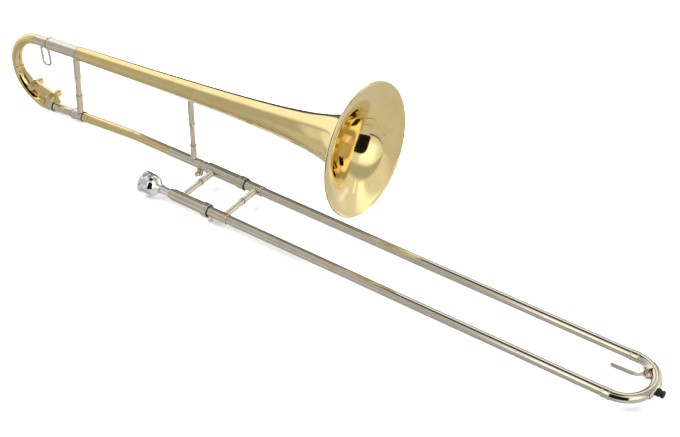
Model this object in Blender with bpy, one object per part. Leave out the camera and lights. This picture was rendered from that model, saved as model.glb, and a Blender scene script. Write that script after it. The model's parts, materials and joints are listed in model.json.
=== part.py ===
"""Tenor trombone: hand slide, bell section, tuning slide, water key and mouthpiece."""
import math

import bmesh
import bpy
from mathutils import Matrix, Vector

# Driving dimensions in metres. X runs along the hand slide, Z up towards the bell.
GAP = 0.0003
WALL = 0.0006

INNER_R = 0.0063
INNER_WALL = 0.0004
STOCKING = 0.00015
OUTER_WALL = 0.00045
SLEEVE_WALL = 0.0005
BARREL_WALL = 0.0008
SLIDE_SPACING = 0.0845
COLLAR_LENGTH = 0.0078
PLUG_LENGTH = 0.0275
BARREL_LENGTH = 0.0692
FELT_LENGTH = 0.0047
SLEEVE_LENGTH = 0.0717
CROOK_X = 0.7425
STOCKING_LENGTH = 0.12
LEADPIPE_LENGTH = 0.21
TENON_LENGTH = 0.030

BELL_SPACING = 0.1223
BELL_PITCH = math.radians(4.25)
BEND_X = -0.1455
BEND_HALF = 0.018
BELL_RADIUS = 0.100
BELL_LENGTH = 0.5501
BELL_WALL = 0.0008
BELL_RIM_T = 0.4576
TAIL_T = BELL_RIM_T - BELL_LENGTH
FLARE_OFFSET = 0.0105
FLARE_POWER = 0.55
BEAD_R = 0.0018

BOW_TOP_T = TAIL_T - 0.0910
BOW_LOW_T = TAIL_T - 0.0965
BOW_BACK_T = TAIL_T - 0.1517
BOW_STUB = 0.0044
LEG_UPPER_R = 0.0088
LEG_LOWER_R = 0.0067
LEG_END_T = TAIL_T - 0.0815
LEG_TIP_T = TAIL_T + 0.0165

SHANK_R = 0.0062
SHANK_TAPER = 0.032
SHANK_END = 0.0275
RECEIVER_X = 0.0019

OUTER_BORE = INNER_R + STOCKING + GAP
OUTER_R = OUTER_BORE + OUTER_WALL
SLEEVE_R = OUTER_R + GAP + SLEEVE_WALL
BARREL_BORE = SLEEVE_R + 0.0005
BARREL_R = BARREL_BORE + BARREL_WALL
PLUG_R = BARREL_BORE - GAP
BARREL_X = COLLAR_LENGTH + GAP
LIP = 0.0008
PLUG_X = BARREL_X + LIP + GAP
PLUG_END = PLUG_X + PLUG_LENGTH
BARREL_END = BARREL_X + BARREL_LENGTH
FELT_X = PLUG_END + GAP
SLEEVE_X = FELT_X + FELT_LENGTH + GAP
SLEEVE_END = SLEEVE_X + SLEEVE_LENGTH
STUB = 0.0045
TUBE_END = CROOK_X - STUB - GAP
INNER_END = TUBE_END - 0.012
BOW_R = SLIDE_SPACING / 2
NECK_R = 0.00725
NECK_REAR_R = LEG_LOWER_R + 2 * GAP + WALL - 0.0003
RECEIVER_BORE = 0.0070
RECEIVER_R = RECEIVER_BORE + WALL
LOWER_RECEIVER_R = NECK_REAR_R + GAP + WALL
UPPER_RECEIVER_BORE = LEG_UPPER_R + GAP
UPPER_RECEIVER_R = UPPER_RECEIVER_BORE + 0.0010

# Surface finishes: colour, metallic share, roughness.
BRASS = ((0.78, 0.56, 0.22, 1), 1.0, 0.22)
NICKEL = ((0.66, 0.62, 0.55, 1), 1.0, 0.25)
SILVER = ((0.86, 0.86, 0.84, 1), 1.0, 0.12)
STEEL = ((0.55, 0.55, 0.56, 1), 1.0, 0.3)
RUBBER = ((0.02, 0.02, 0.02, 1), 0.0, 0.6)
FELT = ((0.08, 0.08, 0.09, 1), 0.0, 0.95)
CORK = ((0.50, 0.33, 0.19, 1), 0.0, 0.9)


def clear_scene():
    for item in list(bpy.data.objects):
        bpy.data.objects.remove(item)


def empty(name, parent=None, at=(0, 0, 0), turn=(0, 0, 0)):
    item = bpy.data.objects.new(name, None)
    bpy.context.collection.objects.link(item)
    item.parent = parent
    item.location = at
    item.rotation_euler = turn
    return item


def outward(bm):
    """Turn every face to look out of the closed shape."""
    bmesh.ops.recalc_face_normals(bm, faces=bm.faces)
    if bm.calc_volume(signed=True) < 0:
        bmesh.ops.reverse_faces(bm, faces=bm.faces)
    return bm


def spun(profile, segments=16):
    """A profile of (x, radius) points turned about the X axis; it closes itself off the axis."""
    bm = bmesh.new()
    verts = [bm.verts.new((x, 0, r)) for x, r in profile]
    pairs = list(zip(verts, verts[1:]))
    if profile[0][1] > 0 or profile[-1][1] > 0:
        pairs.append((verts[-1], verts[0]))
    edges = [bm.edges.new(pair) for pair in pairs]
    bmesh.ops.spin(
        bm, geom=verts + edges, cent=(0, 0, 0), axis=(1, 0, 0),
        angle=2 * math.pi, steps=segments, use_merge=True,
    )
    bmesh.ops.remove_doubles(bm, verts=bm.verts, dist=1e-7)
    return outward(bm)


def tube(outer, inner, segments=16):
    return spun(list(outer) + list(reversed(inner)), segments)


def ring(start, end, bore, radius, segments=16):
    return tube([(start, radius), (end, radius)], [(start, bore), (end, bore)], segments)


def frames_along(runs, steps):
    """Frames of a path in the XZ plane made of (length, angle) runs, heading along X."""
    frames = [Matrix.Identity(4)]
    for (length, angle), count in zip(runs, steps):
        start = frames[-1]
        for k in range(1, count + 1):
            share = k / count
            if angle == 0:
                frames.append(start @ Matrix.Translation((length * share, 0, 0)))
                continue
            radius, turned = length / angle, angle * share
            move = (radius * math.sin(turned), 0, radius * (1 - math.cos(turned)))
            frames.append(start @ Matrix.Translation(move) @ Matrix.Rotation(-turned, 4, "Y"))
    return frames


def bent(frames, outer, inner, segments=16):
    """A tube whose station k stands in frame k, with its outer and inner radius there."""
    bm = tube([(k, r) for k, r in enumerate(outer)], [(k, r) for k, r in enumerate(inner)], segments)
    for v in bm.verts:
        v.co = frames[round(v.co.x)] @ Vector((0, v.co.y, v.co.z))
    return outward(bm)


def patch(steps_u, steps_v, place):
    """A block with unit coordinates u, v, w carried to place(u, v, w)."""
    bm = bmesh.new()
    bmesh.ops.create_grid(bm, x_segments=steps_u, y_segments=steps_v, size=0.5)
    grown = bmesh.ops.extrude_face_region(bm, geom=bm.faces[:], use_keep_orig=True)
    for item in grown["geom"]:
        if isinstance(item, bmesh.types.BMVert):
            item.co.z = 1
    for v in bm.verts:
        v.co = place(v.co.x + 0.5, v.co.y + 0.5, v.co.z)
    return outward(bm)


def plate(outline, low, high):
    """A flat outline in the XZ plane, from y = low to y = high."""
    bm = bmesh.new()
    face = bm.faces.new([bm.verts.new((x, low, z)) for x, z in outline])
    grown = bmesh.ops.extrude_face_region(bm, geom=[face], use_keep_orig=True)
    for item in grown["geom"]:
        if isinstance(item, bmesh.types.BMVert):
            item.co.y = high
    return outward(bm)


def block(low, high):
    bm = bmesh.new()
    bmesh.ops.create_cube(bm, size=1)
    low, high = Vector(low), Vector(high)
    for v in bm.verts:
        v.co = Vector([(high[i] + low[i]) / 2 + v.co[i] * (high[i] - low[i]) for i in range(3)])
    return bm


def strip(stations):
    """A bar through (x, y, half width in plan, low z, high z) stations in the XY plane."""
    points = [Vector((s[0], s[1], 0)) for s in stations]
    bm = bmesh.new()
    rows = []
    for k, (x, y, half, low, high) in enumerate(stations):
        run = points[min(k + 1, len(points) - 1)] - points[max(k - 1, 0)]
        side = Vector((-run.y, run.x, 0)).normalized() * half
        corners = [(-1, low), (1, low), (1, high), (-1, high)]
        rows.append([bm.verts.new(points[k] + side * s + Vector((0, 0, z))) for s, z in corners])
    for a, b in zip(rows, rows[1:]):
        for i in range(4):
            bm.faces.new((a[i], a[(i + 1) % 4], b[(i + 1) % 4], b[i]))
    bm.faces.new(rows[0])
    bm.faces.new(rows[-1])
    return outward(bm)


def moved(bm, matrix):
    bmesh.ops.transform(bm, matrix=matrix, verts=bm.verts)
    return bm


def along_z(bm):
    """A shape built along X stood up along Z."""
    return moved(bm, Matrix.Rotation(-math.pi / 2, 4, "Y"))


def material(name, finish):
    colour, metallic, roughness = finish
    mat = bpy.data.materials.new(name)
    mat.use_nodes = True
    shader = mat.node_tree.nodes["Principled BSDF"]
    shader.inputs["Base Color"].default_value = colour
    shader.inputs["Metallic"].default_value = metallic
    shader.inputs["Roughness"].default_value = roughness
    return mat


def placed(name, bm, parent, at=(0, 0, 0), turn=(0, 0, 0)):
    mesh = bpy.data.meshes.new(name)
    bm.to_mesh(mesh)
    bm.free()
    item = bpy.data.objects.new(name, mesh)
    bpy.context.collection.objects.link(item)
    item.parent = parent
    item.location = at
    item.rotation_euler = turn
    return item


NODES = []


def node(name, bm, finish, parent, at=(0, 0, 0), turn=(0, 0, 0)):
    item = placed(name, bm, parent, at, turn)
    item.data.shade_smooth()
    item.data.set_sharp_from_angle(angle=math.radians(32))
    item.data.materials.append(material(name, finish))
    NODES.append(item)
    return item


def shaped(item, operation, bm, at=None, turn=None):
    """Join a hidden helper to a node, or cut it away; it stands in the node's own frame."""
    helper = placed(item.name + "_" + operation.lower(), bm, item.parent)
    helper.location = item.location if at is None else at
    helper.rotation_euler = item.rotation_euler if turn is None else turn
    helper.hide_render = True
    helper.display_type = "WIRE"
    step = item.modifiers.new(operation.lower(), "BOOLEAN")
    step.operation = operation
    step.solver = "EXACT"
    step.object = helper
    return item


def foot(name, parent, at, host, tall, rod, flange, turn=(0, 0, 0), lean=0.0):
    """A brace socket on a tube along local X, reaching out along local Z and leaning towards X.

    host(x) is the tube's radius; tall is measured from the tube's axis along the brace.
    """
    post = rod + 0.0008
    rim, bore, depth = post + 0.0006, rod + GAP, 0.006
    start = host(0) * 0.6
    half, spread = flange
    shape = along_z(spun([
        (start, 0), (start, post), (tall - 0.0022, post), (tall - 0.0016, rim), (tall, rim),
        (tall, bore), (tall - depth, bore), (tall - depth, 0),
    ], 14))
    item = node(name, moved(shape, Matrix.Rotation(lean, 4, "Y")), NICKEL, parent, at, turn)
    shift = math.tan(lean) * host(0)

    def place(u, v, w):
        x = (2 * u - 1) * half + shift
        angle = (2 * v - 1) * spread * (1 - 0.88 * abs(2 * u - 1)) / host(0)
        r = host(x) - 0.0012 + w * (0.0012 + GAP + 0.0009)
        return Vector((x, r * math.sin(angle), r * math.cos(angle)))

    shaped(item, "UNION", patch(4, 4, place))
    ends = (-2 * half, 0.0, 2 * half)
    cutter = spun([(ends[0], 0)] + [(x, host(x) + GAP) for x in ends] + [(ends[-1], 0)], 24)
    shaped(item, "DIFFERENCE", cutter)
    return item


def rod_between(name, parent, at, turn, start, end, radius):
    chamfer = radius * 0.15
    profile = [
        (start, 0), (start, radius - chamfer), (start + chamfer, radius),
        (end - chamfer, radius), (end, radius - chamfer), (end, 0),
    ]
    return node(name, along_z(spun(profile, 14)), NICKEL, parent, at, turn)


def slide_brace(prefix, parent, x, host, post, near_end, far_end):
    """Two sockets and the rod between the two slide tubes, along Y."""
    up, down = (-math.pi / 2, 0, 0), (math.pi / 2, 0, 0)
    rod = post - 0.0008
    near = (x, -SLIDE_SPACING, 0)
    flange = (0.0072, 0.0060)
    foot(prefix + "_foot_near", parent, near, lambda _: host, near_end, rod, flange, up)
    foot(prefix + "_foot_far", parent, (x, 0, 0), lambda _: host, far_end, rod, flange, down)
    reach = SLIDE_SPACING - far_end
    rod_between(prefix + "_rod", parent, near, up, near_end - 0.0055, reach + 0.0055, rod)


def inner_slide(root):
    near = (0, -SLIDE_SPACING, 0)
    tenon_r = RECEIVER_BORE - GAP
    tenon_bore = tenon_r - 0.0009
    seat = INNER_R + GAP
    tube_x = PLUG_END - 0.020
    node("slide_tenon", tube(
        [(-TENON_LENGTH, tenon_r - 0.0003), (0.001 - TENON_LENGTH, tenon_r), (-0.0009, tenon_r),
         (-0.0009, RECEIVER_R + 0.0006), (0.0003, RECEIVER_R + 0.0006), (0.0003, RECEIVER_R),
         (PLUG_X, RECEIVER_R), (PLUG_X, PLUG_R), (PLUG_END, PLUG_R)],
        [(-TENON_LENGTH, tenon_bore), (tube_x - GAP, tenon_bore), (tube_x - GAP, seat),
         (PLUG_END, seat)]), NICKEL, root)
    rear = RECEIVER_BORE + WALL + 0.0002
    node("mouthpiece_receiver", tube(
        [(RECEIVER_X, rear - 0.0006), (RECEIVER_X + 0.0008, rear), (PLUG_X, rear),
         (PLUG_X, PLUG_R), (PLUG_END, PLUG_R)],
        [(RECEIVER_X, shank_radius(RECEIVER_X) + GAP),
         (SHANK_END + GAP, shank_radius(SHANK_END) + GAP), (SHANK_END + GAP, seat),
         (PLUG_END, seat)]), NICKEL, root, near)
    for side, at, lip in (("near", near, rear + GAP), ("far", (0, 0, 0), RECEIVER_R + GAP)):
        node(side + "_barrel", tube(
            [(BARREL_X, BARREL_R - 0.0005), (BARREL_X + 0.0006, BARREL_R), (BARREL_END, BARREL_R)],
            [(BARREL_X, lip), (BARREL_X + LIP, lip), (BARREL_X + LIP, BARREL_BORE),
             (BARREL_END, BARREL_BORE)]), NICKEL, root, at)
        node(side + "_felt", ring(FELT_X, FELT_X + FELT_LENGTH, seat, PLUG_R), FELT, root, at)
        start = SHANK_END + 2 * GAP if side == "near" else tube_x
        bore = INNER_R - INNER_WALL
        node("inner_tube_" + side, tube(
            [(start, INNER_R), (INNER_END - STOCKING_LENGTH, INNER_R),
             (INNER_END - STOCKING_LENGTH + 0.004, INNER_R + STOCKING),
             (INNER_END - 0.001, INNER_R + STOCKING), (INNER_END, INNER_R)],
            [(start, bore), (INNER_END, bore)]), NICKEL, root, at)
    pipe = INNER_R - INNER_WALL - GAP
    pipe_x = SHANK_END + 3 * GAP
    node("leadpipe", tube([(pipe_x, pipe), (pipe_x + LEADPIPE_LENGTH, pipe)],
                          [(pipe_x, pipe - 0.0010), (pipe_x + LEADPIPE_LENGTH, pipe - 0.0004)], 20),
         BRASS, root, near)
    ring_end = BARREL_END + 0.0048
    node("far_barrel_ring", tube(
        [(ring_end - 0.0119, BARREL_R + GAP + WALL), (ring_end - 0.0113, BARREL_R + 0.0012),
         (ring_end - 0.0030, BARREL_R + 0.0012), (ring_end - 0.0025, BARREL_R + GAP + WALL),
         (ring_end, BARREL_R + GAP + WALL)],
        [(ring_end - 0.0119, BARREL_R + GAP), (ring_end, BARREL_R + GAP)]), NICKEL, root)
    slide_brace("inner_brace", root, 0.0215, BARREL_R, 0.0050, 0.0445, 0.0360)


def slide_lock(root):
    """A ring that turns on the near barrel; its finger reaches forward to catch the stud."""
    bore = BARREL_R + GAP
    start, end = BARREL_END - 0.0098, BARREL_END + 0.0004
    low, high = bore, bore + 0.0013
    item = node("slide_lock_ring", tube(
        [(start, high - 0.0004), (start + 0.0005, high), (end - 0.0005, high), (end, high - 0.0004)],
        [(start, low), (end, low)], 24), NICKEL, root)
    middle = math.radians(-136)

    def finger(u, v, w):
        x = start + 0.003 + u * (end + 0.0106 - start - 0.003)
        angle = middle + math.radians(34) * (v - 0.5)
        r = low + 0.0002 + w * 0.0016
        return Vector((x, r * math.sin(angle), r * math.cos(angle)))

    shaped(item, "UNION", patch(2, 6, finger))

    def tab(u, v, w):
        x = end + 0.0072 + u * 0.0034
        angle = middle + math.radians(30) * (v - 0.5)
        r = low + 0.0012 + w * 0.0036
        return Vector((x, r * math.sin(angle), r * math.cos(angle)))

    shaped(item, "UNION", patch(1, 4, tab))

    def slot(u, v, w):
        x = end + 0.0024 + u * 0.0040
        angle = middle + math.radians(-20 + 30 * v)
        r = low - 0.001 + w * 0.0050
        return Vector((x, r * math.sin(angle), r * math.cos(angle)))

    shaped(item, "DIFFERENCE", patch(1, 3, slot))
    return item


def shank_radius(x):
    return SHANK_R - SHANK_TAPER * (x - RECEIVER_X)


def mouthpiece(axis):
    rim = RECEIVER_X - 0.0525
    waist = RECEIVER_X - 0.0170
    outer = [
        (rim + 0.0006, 0.0134), (rim, 0.0148), (rim, 0.0162), (rim + 0.0008, 0.0176),
        (rim + 0.0024, 0.0182), (rim + 0.0050, 0.0181), (rim + 0.0062, 0.0174),
        (rim + 0.0090, 0.0172), (rim + 0.0150, 0.0172), (rim + 0.0205, 0.0166),
        (rim + 0.0250, 0.0149), (rim + 0.0285, 0.0120), (rim + 0.0308, 0.0088),
        (waist - 0.0028, 0.0066), (waist - 0.0012, 0.0066), (waist - 0.0006, 0.0074),
        (waist + 0.0006, 0.0074), (waist + 0.0012, shank_radius(waist) - 0.0002),
        (SHANK_END - 0.0004, shank_radius(SHANK_END)), (SHANK_END, shank_radius(SHANK_END) - 0.0003),
    ]
    inner = [
        (rim + 0.0018, 0.0127), (rim + 0.0070, 0.0121), (rim + 0.0125, 0.0105),
        (rim + 0.0175, 0.0080), (rim + 0.0215, 0.0048), (rim + 0.0235, 0.0033),
        (rim + 0.0280, 0.0032), (rim + 0.0500, 0.0038), (SHANK_END, 0.0045),
    ]
    node("mouthpiece", tube(outer, inner, 20), SILVER, axis)


def outer_slide(axis):
    near = (0, -SLIDE_SPACING, 0)
    sleeve_bore = OUTER_R + GAP
    for side, at in (("near", near), ("far", (0, 0, 0))):
        node("outer_tube_" + side, ring(SLEEVE_X, TUBE_END, OUTER_BORE, OUTER_R), NICKEL, axis, at)
        node("outer_sleeve_" + side, tube(
            [(SLEEVE_X, SLEEVE_R), (SLEEVE_END - 0.0022, SLEEVE_R),
             (SLEEVE_END - 0.0017, SLEEVE_R + 0.0004), (SLEEVE_END - 0.0004, SLEEVE_R + 0.0004),
             (SLEEVE_END, SLEEVE_R)],
            [(SLEEVE_X, sleeve_bore), (SLEEVE_END, sleeve_bore)]), NICKEL, axis, at)
        start, end = TUBE_END - 0.0056, TUBE_END + 0.0071
        high = sleeve_bore + 0.0003
        node("crook_ferrule_" + side, tube(
            [(start, high), (start + 0.0003, high + 0.0003), (start + 0.0016, high + 0.0003),
             (start + 0.0019, high), (end - 0.0019, high), (end - 0.0016, high + 0.0003),
             (end - 0.0003, high + 0.0003), (end, high)],
            [(start, sleeve_bore), (end, sleeve_bore)]), NICKEL, axis, at)
    slide_brace("outer_brace", axis, SLEEVE_END - 0.0107, SLEEVE_R, 0.0050, 0.0450, 0.0365)
    crook(axis)
    guard_and_bumper(axis)
    lock_stud(axis)


def lock_stud(axis):
    angle = math.radians(-136 - 40)
    turn = (-angle, 0, 0)
    at = (BARREL_END + 0.0048, -SLIDE_SPACING, 0)
    stud = node("slide_lock_stud", along_z(spun(
        [(SLEEVE_R * 0.7, 0), (SLEEVE_R * 0.7, 0.0020), (SLEEVE_R + 0.0011, 0.0020),
         (SLEEVE_R + 0.0011, 0.0013), (SLEEVE_R + 0.0042, 0.0013), (SLEEVE_R + 0.0042, 0)], 16)),
        NICKEL, axis, at, turn)
    shaped(stud, "DIFFERENCE", spun([(-0.006, 0), (-0.006, SLEEVE_R + GAP),
                                     (0.006, SLEEVE_R + GAP), (0.006, 0)], 40))


def crook_frame(degrees):
    """Frame on the crook's centre line: X outward, Y along it, Z up."""
    centre = Matrix.Translation((CROOK_X, -BOW_R, 0))
    return centre @ Matrix.Rotation(math.radians(degrees), 4, "Z") @ Matrix.Translation((BOW_R, 0, 0))


NIPPLE = 30
PIVOT = 50
PIVOT_IN = 0.0124
NIPPLE_TALL = 0.0026
SPRING_R = 0.0021
SPRING_WIRE_R = 0.00025
CORK_TALL = 0.0018


def crook(axis):
    runs = [(STUB, 0), (math.pi * BOW_R, math.pi), (STUB, 0)]
    frames = frames_along(runs, (1, 18, 1))
    stations = len(frames)
    item = node("crook", bent(frames, [OUTER_R] * stations, [OUTER_R - 0.0008] * stations, 16),
                NICKEL, axis, (CROOK_X - STUB, -SLIDE_SPACING, 0), (-math.pi / 2, 0, 0))
    inward = crook_frame(NIPPLE) @ Matrix.Rotation(math.pi, 4, "Z")
    drill = spun([(0.0030, 0), (0.0030, 0.0018), (0.0120, 0.0018), (0.0120, 0)], 12)
    shaped(item, "DIFFERENCE", moved(drill, inward), (0, 0, 0), (0, 0, 0))


def guard_and_bumper(axis):
    low = OUTER_R + GAP

    def place(u, v, w):
        eased = math.cos(math.pi * u)
        degrees = 20 - 42 * eased
        reach = math.radians(74) * (1 - 0.5 * eased ** 6)
        angle, r = (2 * v - 1) * reach, low + w * 0.0008
        return crook_frame(degrees) @ Vector((r * math.cos(angle), 0, r * math.sin(angle)))

    node("crook_guard", patch(12, 10, place), NICKEL, axis)
    face = low + 0.0008
    local = crook_frame(-3)
    seat, end = face + 0.0030, face + 0.0095
    stub = spun([(face - 0.003, 0), (face - 0.003, 0.0036), (seat - 0.0003, 0.0036),
                 (seat, 0.0033), (seat, 0)], 24)
    socket = node("bumper_socket", moved(stub, local), NICKEL, axis)
    rubber = spun([(seat + GAP, 0), (seat + GAP, 0.0036 + GAP), (face - 0.0028, 0.0036 + GAP),
                   (face - 0.0028, 0.0058), (face + 0.0010, 0.0060), (face + 0.0026, 0.0060),
                   (face + 0.0036, 0.0046), (face + 0.0048, 0.0046), (face + 0.0056, 0.0055),
                   (end - 0.0019, 0.0056), (end - 0.0007, 0.0049), (end, 0.0036), (end, 0)], 24)
    bumper = node("rubber_bumper", moved(rubber, local), RUBBER, axis)
    for item in (socket, bumper):
        clearance = spun([(-0.01, 0), (-0.01, face + GAP), (0.01, face + GAP), (0.01, 0)], 40)
        shaped(item, "DIFFERENCE", moved(clearance, local @ Matrix.Rotation(math.pi / 2, 4, "Z")))


def pivot_point():
    return crook_frame(PIVOT) @ Vector((-PIVOT_IN, 0, 0))


def water_key_seat(axis):
    """The nipple, saddle, pin and spring that ride on the crook."""
    inward = crook_frame(NIPPLE) @ Matrix.Rotation(math.pi, 4, "Z")
    body = spun([(OUTER_R - 0.002, 0.0018), (OUTER_R - 0.002, 0.0040), (OUTER_R + 0.0014, 0.0040),
                 (OUTER_R + 0.0014, 0.0030), (OUTER_R + NIPPLE_TALL, 0.0027),
                 (OUTER_R + NIPPLE_TALL, 0.0018)],
                20)
    nipple = node("water_key_nipple", moved(body, inward), NICKEL, axis)
    near_tube = spun([(-0.008, 0), (-0.008, OUTER_R + GAP + 0.0002), (0.008, OUTER_R + GAP + 0.0002),
                      (0.008, 0)], 40)
    quarter = Matrix.Rotation(math.pi / 2, 4, "Z")
    shaped(nipple, "DIFFERENCE", moved(near_tube, inward @ quarter))
    saddle_frame = crook_frame(PIVOT) @ Matrix.Rotation(math.pi, 4, "Z")
    body = block((0.002, -0.0034, -0.0072), (PIVOT_IN + 0.0028, 0.0034, 0.0072))
    saddle = node("water_key_saddle", moved(body, saddle_frame), NICKEL, axis)
    gap = block((PIVOT_IN - 0.0034, -0.006, -0.0048), (PIVOT_IN + 0.006, 0.006, 0.0048))
    shaped(saddle, "DIFFERENCE", moved(gap, saddle_frame))
    under = spun([(-0.008, 0), (-0.008, OUTER_R + GAP + 0.0002), (0.008, OUTER_R + GAP + 0.0002),
                  (0.008, 0)], 40)
    shaped(saddle, "DIFFERENCE", moved(under, saddle_frame @ quarter))
    at = pivot_point()
    hole = along_z(spun([(-0.01, 0), (-0.01, 0.0013), (0.01, 0.0013), (0.01, 0)], 16))
    shaped(saddle, "DIFFERENCE", moved(hole, Matrix.Translation(at)))
    pin = along_z(spun([(-0.0086, 0), (-0.0086, 0.0010), (0.0075, 0.0010), (0.0075, 0.0019),
                        (0.0084, 0.0019), (0.0087, 0.0015), (0.0087, 0)], 16))
    node("water_key_pin", pin, STEEL, axis, at)
    node("water_key_spring", spring(), STEEL, axis, at)


def spring():
    """Wire wound twice round the pin, one end lying over the lever, one against the crook."""
    start, end, count = math.radians(-40), math.radians(773), 27
    low, high = 0.0016, 0.0041
    points = [Vector((-0.0048, -0.0072, low))]
    for k in range(count + 1):
        a = start + (end - start) * k / count
        points.append(Vector((SPRING_R * math.cos(a), SPRING_R * math.sin(a),
                              low + (high - low) * k / count)))
    points.append(Vector((-0.0042, 0.0046, high)))
    half_turn = math.pi * SPRING_R
    print("water_key_spring: least gap to itself %.2f mm"
          % (1000 * least_gap(points, SPRING_WIRE_R, half_turn)))
    return wire(points, SPRING_WIRE_R, 6)


def least_gap(points, radius, apart):
    """Smallest space between stretches of wire further than `apart` from each other along it."""
    walk, run = [(0.0, points[0])], 0.0
    for a, b in zip(points, points[1:]):
        steps = 4
        walk += [(run + (b - a).length * k / steps, a.lerp(b, k / steps)) for k in range(1, steps + 1)]
        run += (b - a).length
    return min((p - q).length for s, p in walk for t, q in walk if t - s > apart) - 2 * radius


def wire(points, radius, sides):
    bm = bmesh.new()
    rows = []
    for k, point in enumerate(points):
        run = (points[min(k + 1, len(points) - 1)] - points[max(k - 1, 0)]).normalized()
        side = run.cross(Vector((0, 0, 1))).normalized()
        up = side.cross(run)
        angles = [2 * math.pi * i / sides for i in range(sides)]
        rows.append([bm.verts.new(point + radius * (side * math.cos(a) + up * math.sin(a)))
                     for a in angles])
    for a, b in zip(rows, rows[1:]):
        for i in range(sides):
            bm.faces.new((a[i], a[(i + 1) % sides], b[(i + 1) % sides], b[i]))
    bm.faces.new(rows[0])
    bm.faces.new(rows[-1])
    return outward(bm)


def water_key(axis):
    """The lever that turns about the pin, with its cork; the axis empty stands at the pivot."""
    pivot = pivot_point()
    seat = crook_frame(NIPPLE) @ Vector((-(OUTER_R + NIPPLE_TALL + GAP + CORK_TALL), 0, 0)) - pivot
    inward = (crook_frame(NIPPLE) @ Vector((-1, 0, 0)) - crook_frame(NIPPLE).translation).normalized()
    back = seat + inward * 0.0010
    low, high = -0.0040, 0.0002
    stations = [
        (-0.0436, -0.0134, 0.0006, -0.0016, 0.0016), (-0.0426, -0.0134, 0.0008, -0.0031, 0.0031),
        (-0.0400, -0.0133, 0.0008, -0.0035, 0.0035), (-0.0130, -0.0122, 0.0008, -0.0035, 0.0035),
        (-0.0092, -0.0112, 0.0009, -0.0034, 0.0026), (-0.0060, -0.0094, 0.0011, low, 0.0008),
        (-0.0028, -0.0058, 0.0013, low, high), (0.0004, -0.0036, 0.0013, low, high),
        (back.x * 0.55, back.y * 0.60, 0.0013, low, high), (back.x, back.y, 0.0012, low, high),
    ]
    item = node("water_key_lever", strip(stations), NICKEL, axis)
    hub = along_z(spun([(low - GAP, 0), (low - GAP, 0.0026), (high + GAP, 0.0026), (high + GAP, 0)], 20))
    shaped(item, "UNION", hub)
    toward = inward.to_track_quat("X", "Z").to_matrix().to_4x4()
    cup = moved(spun([(0.0, 0), (0.0, 0.0037), (0.0012, 0.0037), (0.0016, 0.0032), (0.0016, 0)], 20),
                Matrix.Translation(seat) @ toward)
    shaped(item, "UNION", cup)
    shaped(item, "DIFFERENCE", along_z(spun([(-0.01, 0), (-0.01, 0.0013), (0.01, 0.0013), (0.01, 0)], 16)))
    cork = spun([(-CORK_TALL, 0), (-CORK_TALL, 0.0033), (-GAP, 0.0033), (-GAP, 0)], 20)
    node("water_key_cork", moved(cork, Matrix.Translation(seat) @ toward), CORK, axis)


def bell_radius(t):
    """Outer radius of the bell at t, measured along its axis."""
    behind = max(BELL_RIM_T - BEAD_R - t, 0)
    return BELL_RADIUS * (FLARE_OFFSET / (behind + FLARE_OFFSET)) ** FLARE_POWER


def bell_profile():
    start, last = TAIL_T, BELL_RIM_T - BEAD_R - 0.0009
    count = 12
    outer = []
    for k in range(count + 1):
        behind = (BELL_LENGTH - BEAD_R - 0.0009) * (1 - k / count) ** 2.6
        outer.append((last - behind, bell_radius(last - behind)))
    inner = []
    for k, (t, r) in enumerate(outer):
        a, b = outer[max(k - 1, 0)], outer[min(k + 1, count)]
        run = Vector((b[0] - a[0], b[1] - a[1])).normalized()
        inner.append((t + run.y * BELL_WALL, r - run.x * BELL_WALL))
    inner[0] = (start, outer[0][1] - BELL_WALL)
    centre = (BELL_RIM_T - BEAD_R, BELL_RADIUS - BEAD_R)
    bead = [(centre[0] + BEAD_R * math.cos(a), centre[1] + BEAD_R * math.sin(a))
            for a in [math.radians(d) for d in (200, 150, 105, 60, 15)]]
    return outer + bead, inner


def bell_section(swivel, bell_frame):
    high = (0, 0, BELL_SPACING)
    outer, inner = bell_profile()
    node("bell", tube(outer, inner, 36), BRASS, bell_frame, high)
    tail = TAIL_T
    upper_start = tail - 0.0650
    node("tuning_receiver_upper", tube(
        [(upper_start, UPPER_RECEIVER_R), (upper_start + 0.0003, UPPER_RECEIVER_R + 0.0005),
         (upper_start + 0.0019, UPPER_RECEIVER_R + 0.0005), (upper_start + 0.0022, UPPER_RECEIVER_R),
         (tail - 0.0016, UPPER_RECEIVER_R), (tail - 0.0014, UPPER_RECEIVER_R + 0.0010),
         (tail - GAP, UPPER_RECEIVER_R + 0.0010), (tail - GAP, UPPER_RECEIVER_R - 0.0002),
         (tail + 0.0100, UPPER_RECEIVER_R - 0.0002)],
        [(upper_start, UPPER_RECEIVER_BORE), (tail + 0.0100, UPPER_RECEIVER_BORE)]),
        NICKEL, bell_frame, high)
    lower_start, lower_end = tail - 0.0368, tail - 0.0152
    node("tuning_receiver_lower", tube(
        [(lower_start, LOWER_RECEIVER_R), (lower_start + 0.0003, LOWER_RECEIVER_R + 0.0005),
         (lower_start + 0.0019, LOWER_RECEIVER_R + 0.0005), (lower_start + 0.0022, LOWER_RECEIVER_R),
         (lower_end - 0.0015, LOWER_RECEIVER_R), (lower_end - 0.0012, LOWER_RECEIVER_R + 0.0003),
         (lower_end - 0.0002, LOWER_RECEIVER_R + 0.0003), (lower_end, LOWER_RECEIVER_R)],
        [(lower_start, LEG_LOWER_R + GAP), (lower_start + 0.0012, LEG_LOWER_R + GAP),
         (lower_start + 0.0012, NECK_REAR_R + GAP), (lower_end, NECK_REAR_R + GAP)]),
        NICKEL, bell_frame)
    neckpipe(bell_frame, lower_start + 0.0015)
    bell_receiver(swivel)
    braces(swivel, bell_frame)


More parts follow.
